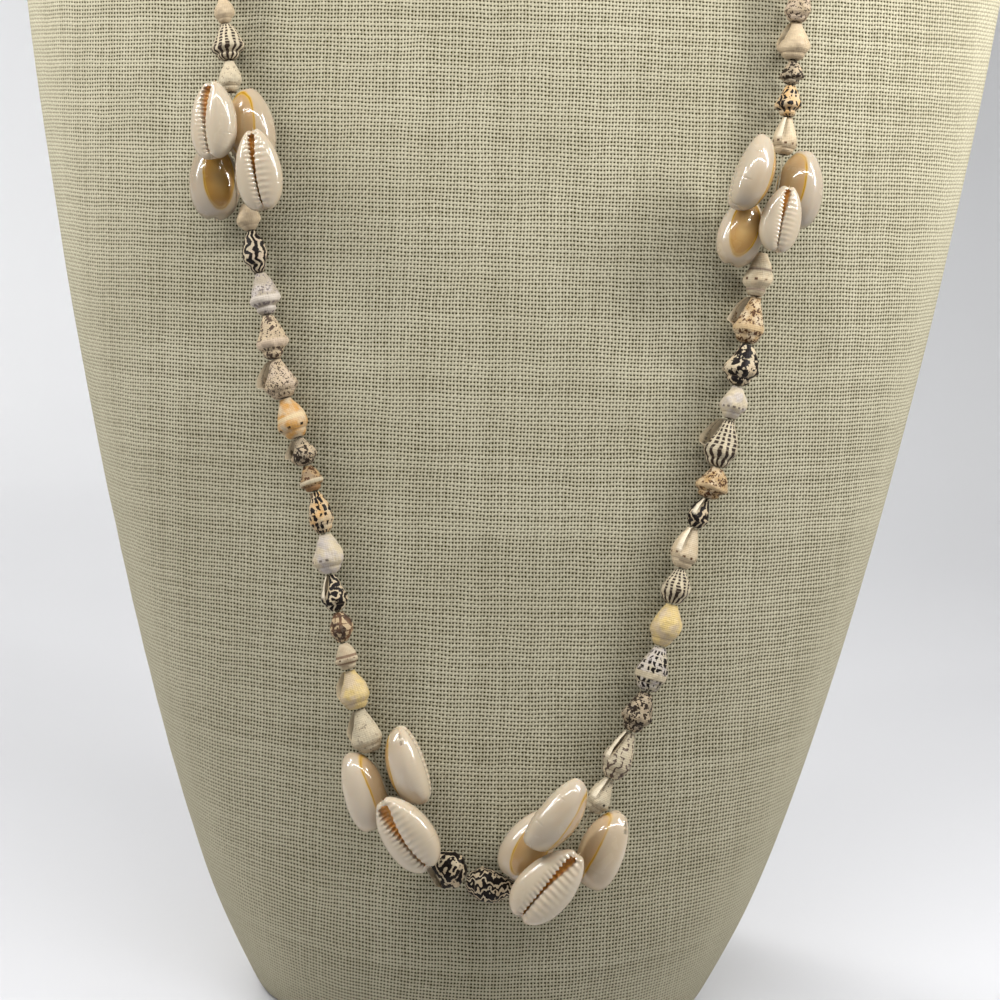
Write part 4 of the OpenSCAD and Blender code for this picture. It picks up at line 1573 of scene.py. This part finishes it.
# Each string from its top down, or from the viewer's left, with the way each opening faces
STRING_ROWS: dict[str, list[ShellRow]] = {
    "shells_top_left": rows(
        (DOVE, Look.PATCHED), (BARREL, Look.BEIGE), (SHOULDER, Look.STREAKED), (DOVE, Look.CHALK),
    ),
    "shells_left": rows(
        (BARREL, Look.BEIGE), (BARREL, Look.ZIGZAG), (SHOULDER, Look.LAVENDER),
        (KNOBBED, Look.SPECKLED_TOP), (WING, Look.SPECKLED, 15), (DOVE, Look.OCHRE), (WING, Look.GREY, 10),
        (SHOULDER, Look.TAN_BANDED), (DOVE, Look.ORANGE), (DOVE, Look.DOTTED), (DOVE, Look.BOLD, 60),
        (BARREL, Look.PATCHED), (SHOULDER, Look.BANDED), (DOVE, Look.YELLOW, 10), (DOVE, Look.CHALK, 10),
    ),
    "shells_front": rows((DOVE, Look.BOLD, 30), (BARREL, Look.FINE_ZIGZAG)),
    "shells_right": rows(
        (SHOULDER, Look.SPIRALLED), (WING, Look.TAN, 15), (KNOBBED, Look.PATCHES), (BARREL, Look.DOTTED),
        (WING, Look.STREAKED, 10), (SHOULDER, Look.TAN), (DOVE, Look.BOLD, 80), (DOVE, Look.CREAM, 80),
        (WING, Look.STREAKED), (BARREL, Look.YELLOW), (DOVE, Look.SPECKLED_BAND), (KNOBBED, Look.GREY),
        (DOVE, Look.RIBBED, 60), (DOVE, Look.WHITE, 80),
    ),
    "shells_top_right": rows(
        (DOVE, Look.SPECKLED), (DOVE, Look.BEIGE, 10), (KNOBBED, Look.GREY), (SHOULDER, Look.ORANGE),
        (DOVE, Look.CREAM, 80),
    ),
    "shells_nape_left": NAPE_MIX,
    "shells_nape_right": NAPE_MIX,
}


@dataclass
class ShellStrings:
    """The strings of small shells, each one joined piece that stands for its CAD node."""

    route: ThreadRoute
    groups: Groups
    chest_lean: float = math.radians(12)
    neck_y: float = 15 * MM
    turn_back: float = 12.0
    unevenness: float = 0.028
    models: dict[Form, bpy.types.Object] = field(default_factory=dict)
    materials: dict[Look, bpy.types.Material] = field(default_factory=dict)

    def outward(self, middle: np.ndarray) -> np.ndarray:
        """Works out the way that faces the viewer on the chest, or away from the neck behind it.

        Args:
            middle: The shell's middle.

        Returns:
            The way out, one unit long.
        """
        if middle[1] > self.neck_y:
            return unit(np.array([middle[0], middle[1] - self.neck_y, 0]))
        return np.array([0, -math.cos(self.chest_lean), math.sin(self.chest_lean)])

    def place(self, points: np.ndarray, turn: float) -> Matrix:
        """Works out where one small shell goes.

        Args:
            points: The CAD shell's vertices.
            turn: How far the shell is turned on the thread, in degrees.

        Returns:
            The matrix that takes a shell of radius and length 1 to its place.
        """
        spire, narrow = self.route.shell_ends(points)
        axis = unit(narrow - spire)
        along, off = along_and_off(points, spire, axis)
        side = unit(np.cross(self.outward((spire + narrow) / 2), axis))
        axes = Matrix(np.column_stack([side, np.cross(axis, side), axis]).tolist()).to_4x4()
        start = Matrix.Translation((spire + axis * along.min()).tolist())
        size = Matrix.Diagonal((off.max(), off.max(), along.max() - along.min(), 1))
        return start @ axes @ Matrix.Rotation(math.radians(turn - self.turn_back), 4, "Z") @ size

    def set_shell(self, row: ShellRow, points: np.ndarray, name: str, seed: int) -> bpy.types.Object:
        """Sets one small shell where a CAD shell is.

        Args:
            row: Its form, look and turn.
            points: The CAD shell's vertices.
            name: Name of the new object.
            seed: Seed of its unevenness.

        Returns:
            The shell.
        """
        if row.form not in self.models:
            self.models[row.form] = SmallShellMaker().model(row.form)
        if row.look not in self.materials:
            self.materials[row.look] = row.look.value.material(self.groups)
        shell = own_copy(self.models[row.form], name)
        roughen(shell.data, seed, self.unevenness)
        shell.data.transform(self.place(points, row.turn))
        shell.data.materials.append(self.materials[row.look])
        return shell

    def build_string(self, node: str, entries: list[ShellRow]) -> bpy.types.Object:
        """Builds one string of small shells.

        Args:
            node: The CAD node that it stands for.
            entries: The rows of its shells, repeated as often as the string needs.

        Returns:
            The joined piece.
        """
        points, pairs = node_points(node)
        group = groups_of(len(points), pairs)
        beads = [points[group == g] for g in range(group.max() + 1)]
        front = node == "shells_front"
        beads.sort(key=lambda bead: bead.mean(0)[0] if front else -bead.mean(0)[2])
        shells = [
            self.set_shell(entries[k % len(entries)], bead, f"{node}_{k}", len(node) * 100 + k)
            for k, bead in enumerate(beads)
        ]
        select_only(shells[0])
        for shell in shells[1:]:
            shell.select_set(True)
        bpy.ops.object.join()
        string = bpy.context.object
        string.name = node.replace("shells", "shell_string")
        hand_over(string, node)
        return string

    def build(self) -> list[bpy.types.Object]:
        """Builds every string and clears the models away.

        Returns:
            The finished strings.
        """
        strings = [self.build_string(node, entries) for node, entries in STRING_ROWS.items()]
        for model in self.models.values():
            discard(model)
        return strings


@dataclass
class Thread:
    """Two-ply thread along the CAD route, with its knot at the nape."""

    route: ThreadRoute
    ply_radius: float = 0.14 * MM
    ply_offset: float = 0.13 * MM
    twist: float = 2.4 * MM
    point_gap: float = 0.34 * MM
    knot_radius: float = 0.42 * MM
    knot_points: int = 90
    knot_share: float = 0.9
    knot_depth: float = 0.42

    def centre_line(self) -> np.ndarray:
        """Places points evenly along the closed route.

        Returns:
            One row of three numbers for each point.
        """
        stops = np.vstack([self.route.stops, self.route.stops[:1]])
        along = np.concatenate([[0], np.cumsum(np.linalg.norm(np.diff(stops, axis=0), axis=1))])
        count = int(along[-1] / self.point_gap)
        places = np.linspace(0, along[-1], count, endpoint=False)
        return np.stack([np.interp(places, along, stops[:, k]) for k in range(3)], axis=1)

    def plies(self) -> list[np.ndarray]:
        """Winds two plies round the centre line.

        Returns:
            The two plies' points.
        """
        line = self.centre_line()
        ahead = unit_rows(np.roll(line, -1, axis=0) - np.roll(line, 1, axis=0))
        side = unit_rows(np.cross(ahead, np.array([0.0, -1.0, 0.2])))
        over = np.cross(ahead, side)
        turns = round(len(line) * self.point_gap / self.twist)
        angle = np.linspace(0, math.tau * turns, len(line), endpoint=False)[:, None]
        return [
            line + self.ply_offset * (np.cos(angle + half) * side + np.sin(angle + half) * over)
            for half in (0, math.pi)
        ]

    def knot_line(self) -> np.ndarray:
        """Works out a trefoil in the middle of the CAD knot.

        Returns:
            One row of three numbers for each point.
        """
        low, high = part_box("thread_knot")
        turn = np.linspace(0, math.tau, self.knot_points, endpoint=False)
        trefoil = np.stack([
            self.knot_depth * np.sin(3 * turn),
            (np.sin(turn) + 2 * np.sin(2 * turn)) / 3,
            (np.cos(turn) - 2 * np.cos(2 * turn)) / 3,
        ], axis=1)
        return np.array((low + high) / 2) + (high.x - low.x) / 2 * self.knot_share * trefoil

    def tube(self, name: str, lines: list[np.ndarray], radius: float) -> bpy.types.Object:
        """Makes closed tubes along lines of points.

        Args:
            name: Name of the new object.
            lines: The lines, each closed.
            radius: Radius of the tubes.

        Returns:
            The tubes as one mesh object.
        """
        curve = bpy.data.curves.new(name, "CURVE")
        curve.dimensions = "3D"
        curve.bevel_depth = radius
        curve.bevel_resolution = 1
        for line in lines:
            spline = curve.splines.new("POLY")
            spline.points.add(len(line) - 1)
            spline.points.foreach_set("co", np.column_stack([line, np.ones(len(line))]).ravel())
            spline.use_cyclic_u = True
        piece = bpy.data.objects.new(name, curve)
        bpy.context.scene.collection.objects.link(piece)
        select_only(piece)
        bpy.ops.object.convert(target="MESH")
        bpy.ops.object.shade_smooth()
        return bpy.context.object

    def build(self, finish: ThreadFinish, groups: Groups) -> list[bpy.types.Object]:
        """Builds the thread and its knot.

        Args:
            finish: Their finish.
            groups: The shared node groups.

        Returns:
            The thread and the knot.
        """
        thread = self.tube("two_ply_thread", self.plies(), self.ply_radius)
        knot = self.tube("tied_knot", [self.knot_line()], self.knot_radius)
        material = finish.material(groups)
        for piece, node in ((thread, "thread"), (knot, "thread_knot")):
            piece.data.materials.append(material)
            hand_over(piece, node)
        return [thread, knot]


@dataclass
class LinenBust:
    """The bust's smooth cover, worked up from the CAD solid and given a cloth map."""

    rim: float = 1.6 * MM
    rim_angle: float = math.radians(50)
    middle_height: float = 127 * MM
    front_point: tuple[float, float, float] = (1.4 * MM, -520 * MM, 234 * MM)
    ring_points: int = 12
    level_gap: float = 0.001 * MM
    seam_gap: float = 0.01 * MM
    seam_across: float = 20.0

    def write_slant(self, mesh: bpy.types.Mesh) -> None:
        """Writes how far the cloth leans away from a point before the chest, from 0 to 1.

        Args:
            mesh: The cover's mesh.
        """
        normals = np.empty(len(mesh.vertices) * 3)
        mesh.vertices.foreach_get("normal", normals)
        towards = unit_rows(np.array(self.front_point) - points_of(mesh))
        facing = np.abs((normals.reshape(-1, 3) * towards).sum(1))
        layer = mesh.attributes.new("slant", "FLOAT", "POINT")
        layer.data.foreach_set("value", 1 - facing)

    def level_rings(self, points: np.ndarray) -> list[np.ndarray]:
        """Sorts the vertices into level rings, each in order round the bust from the back.

        Args:
            points: The vertices of the bust before it is smoothed.

        Returns:
            The vertex numbers of each ring, from the lowest up. All have the same number of vertices.
        """
        grid = []
        for height in np.unique(np.round(points[:, 2], 6)):
            ring = np.flatnonzero(np.abs(points[:, 2] - height) < self.level_gap)
            if len(ring) < self.ring_points:
                continue
            centre = points[ring].mean(0)
            turn = np.arctan2(points[ring, 0] - centre[0], -(points[ring, 1] - centre[1]))
            grid.append(ring[np.argsort(turn)])
        count = min(len(ring) for ring in grid)
        return [ring[:count] for ring in grid]

    def cloth_places(self, points: np.ndarray) -> dict[int, tuple[float, float]]:
        """Works out where each vertex lies on the cloth, in millimetres from the front's middle.

        Args:
            points: The vertices of the bust before it is smoothed.

        Returns:
            The way across and up for each vertex of the rings.
        """
        rings = self.level_rings(points)
        climbs = [np.linalg.norm(points[b] - points[a], axis=1) for a, b in zip(rings, rings[1:])]
        up = np.vstack([np.zeros(len(rings[0])), np.cumsum(climbs, axis=0)])
        up -= up[int(np.argmin([abs(points[ring[0], 2] - self.middle_height) for ring in rings]))]
        places: dict[int, tuple[float, float]] = {}
        for ring, ring_up in zip(rings, up):
            steps = np.linalg.norm(np.diff(points[ring], axis=0), axis=1)
            across = np.concatenate([[0], np.cumsum(steps)])
            behind = points[ring, 1] > points[ring, 1].mean()
            across -= across[int(np.argmin(np.abs(points[ring, 0]) + behind))]
            for vertex, way, rise in zip(ring, across, ring_up):
                places[int(vertex)] = (float(way) / MM, float(rise) / MM)
        return places

    def write_cloth_map(self, mesh: bpy.types.Mesh) -> None:
        """Writes the cloth map, which is cut open along the middle of the back.

        Args:
            mesh: The cover's mesh.
        """
        points = points_of(mesh)
        places = self.cloth_places(points)
        layer = mesh.uv_layers.new(name="cloth")
        for face in mesh.polygons:
            corners = [(k, mesh.loops[k].vertex_index) for k in face.loop_indices]
            flat_cap = any(v not in places for _, v in corners) or abs(face.normal.z) > 0.999
            for k, v in corners:
                if flat_cap:
                    layer.data[k].uv = (points[v, 0] / MM, points[v, 1] / MM)
                    continue
                across, up = places[v]
                if abs(points[v, 0]) < self.seam_gap and abs(across) > self.seam_across:
                    across = math.copysign(across, face.center.x)
                layer.data[k].uv = (across, up)

    def build(self, finish: LinenFinish, groups: Groups) -> bpy.types.Object:
        """Builds the bust's cover.

        Args:
            finish: The linen.
            groups: The shared node groups.

        Returns:
            The finished piece.
        """
        bust = merged_copy("neck_bust", "linen_bust")
        self.write_cloth_map(bust.data)
        edit_all(bust)
        bpy.ops.mesh.tris_convert_to_quads(uvs=False)
        bpy.ops.mesh.select_all(action="DESELECT")
        bpy.ops.mesh.edges_select_sharp(sharpness=self.rim_angle)
        bpy.ops.mesh.bevel(offset=self.rim, segments=2)
        leave_edit()
        smooth = bust.modifiers.new("smooth", "SUBSURF")
        smooth.levels = smooth.render_levels = 2
        bpy.ops.object.modifier_apply(modifier=smooth.name)
        bpy.ops.object.shade_smooth()
        self.write_slant(bust.data)
        bust.data.materials.append(finish.material(groups))
        hand_over(bust, "neck_bust")
        return bust


@dataclass(frozen=True)
class SweepFinish:
    """White paper, with painted shade that makes it a little darker towards the viewer."""

    # The near colour is painted shade
    near: Colour = (0.56, 0.56, 0.575)
    far: Colour = (0.88, 0.88, 0.885)
    turning: float = 1.3
    cloud_scale: float = 3.0
    cloud: float = 0.2
    roughness: float = 0.9

    def material(self) -> bpy.types.Material:
        """Builds the paper, whose painted shade follows the way back on the floor.

        Returns:
            The material.
        """
        material, n, shader = new_material("sweep_paper")
        place = n.object_place()
        back = n.scaled(n.noise(place, self.cloud_scale), self.cloud, n.split(place)[1])
        # Painted shade: the paper is darker near the viewer and lighter further back
        tone = n.mix(n.range(back, 0.0, self.turning), self.near, self.far)
        n.feed_all(shader, Base_Color=tone, Roughness=self.roughness)
        return material


@dataclass(frozen=True)
class Lamp:
    """A soft box: its place and size in metres, and its power in watts."""

    name: str
    place: tuple[float, float, float]
    size: tuple[float, float]
    power: float


LAMPS = (
    Lamp("strip", (0.0, -0.19, 0.44), (0.75, 0.012), 1.4),
    Lamp("window", (0.34, -0.1, 0.42), (0.025, 0.25), 1.9),
    Lamp("left_window", (-0.33, -0.1, 0.42), (0.02, 0.25), 1.15),
    Lamp("back_light", (-0.6, 1.5, 1.5), (2.0, 1.0), 85),
)


@dataclass
class Studio:
    """Pale sweep, soft light and the photograph's camera, with sizes in metres."""

    elevation: float = math.radians(12)
    roll: float = math.radians(1.93)
    target: tuple[float, float, float] = (1.4 * MM, -50.37 * MM, 134.67 * MM)
    distance: float = 480 * MM
    focal_pixels: float = 1968
    frame_pixels: float = 1000
    sensor: float = 36
    floor: float = 6.0
    floor_shift: float = -1.6
    backdrop: float = 4.0
    bend: float = 0.8
    sky: Colour = (0.95, 0.97, 1)
    sky_strength: float = 0.22

    def add_camera(self) -> None:
        """Adds the camera, which looks down at the chest and is turned a little."""
        back = Vector((0, -math.cos(self.elevation), math.sin(self.elevation)))
        up = Vector((0, math.sin(self.elevation), math.cos(self.elevation)))
        right = Vector((1, 0, 0))
        cos, sin = math.cos(self.roll), math.sin(self.roll)
        data = bpy.data.cameras.new("camera")
        data.sensor_width = self.sensor
        data.lens = data.sensor_width * self.focal_pixels / self.frame_pixels
        data.clip_start, data.clip_end = 0.01, 20
        camera = bpy.data.objects.new("camera", data)
        bpy.context.scene.collection.objects.link(camera)
        turn = Matrix((cos * right + sin * up, cos * up - sin * right, back)).transposed().to_4x4()
        camera.matrix_world = Matrix.Translation(Vector(self.target) + self.distance * back) @ turn
        bpy.context.scene.camera = camera

    def add_lamp(self, lamp: Lamp) -> None:
        """Adds a soft box that faces the chest.

        Args:
            lamp: The lamp's place, size and power.
        """
        data = bpy.data.lights.new(lamp.name, "AREA")
        data.shape = "RECTANGLE"
        data.size, data.size_y = lamp.size
        data.energy = lamp.power
        light = bpy.data.objects.new(lamp.name, data)
        bpy.context.scene.collection.objects.link(light)
        back = (Vector(lamp.place) - Vector(self.target)).normalized()
        turn = back.to_track_quat("Z", "Y").to_matrix().to_4x4()
        light.matrix_world = Matrix.Translation(lamp.place) @ turn

    def edit_edges(self, sweep: bpy.types.Object, top: float) -> None:
        """Enters edit mode with the sweep's far edges selected, as far up as the top.

        Args:
            sweep: The sheet of paper.
            top: The height up to which its edges are selected.
        """
        edit_all(sweep)
        bpy.ops.mesh.select_mode(type="EDGE")
        bpy.ops.mesh.select_all(action="DESELECT")
        leave_edit()
        for edge in sweep.data.edges:
            ends = [sweep.data.vertices[v].co for v in edge.vertices]
            edge.select = all(p.y > 0 and p.z < top for p in ends)
        bpy.ops.object.mode_set(mode="EDIT")

    def add_sweep(self) -> None:
        """Adds the floor, which curves up into the backdrop."""
        bpy.ops.object.select_all(action="DESELECT")
        bpy.ops.mesh.primitive_plane_add(size=self.floor, location=(0, self.floor_shift, 0))
        sweep = bpy.context.object
        sweep.name = "sweep"
        bpy.ops.object.transform_apply(location=True, rotation=True, scale=True)
        self.edit_edges(sweep, self.backdrop)
        bpy.ops.mesh.extrude_region_move(TRANSFORM_OT_translate={"value": (0, 0, self.backdrop)})
        self.edit_edges(sweep, self.backdrop / 2)
        bpy.ops.mesh.bevel(offset=self.bend, segments=24)
        leave_edit()
        bpy.ops.object.shade_smooth()
        sweep.data.materials.append(SweepFinish().material())

    def build(self) -> None:
        """Builds the sweep, the lamps, the world and the camera."""
        bpy.context.scene.view_settings.view_transform = "Standard"
        self.add_sweep()
        for lamp in LAMPS:
            self.add_lamp(lamp)
        world = bpy.data.worlds.new("studio")
        world.use_nodes = True
        background = world.node_tree.nodes["Background"]
        background.inputs["Color"].default_value = (*self.sky, 1)
        background.inputs["Strength"].default_value = self.sky_strength
        bpy.context.scene.world = world
        self.add_camera()


def main() -> None:
    """Builds every piece in order."""
    logging.basicConfig(level=logging.INFO, format="%(message)s")
    groups = Groups()
    LinenBust().build(LinenFinish(), groups)
    CowrieMaker().build(CowrieFinish(), groups)
    route = ThreadRoute()
    ShellStrings(route, groups).build()
    Thread(route).build(ThreadFinish(), groups)
    Studio().build()


if __name__ == "__main__":
    main()
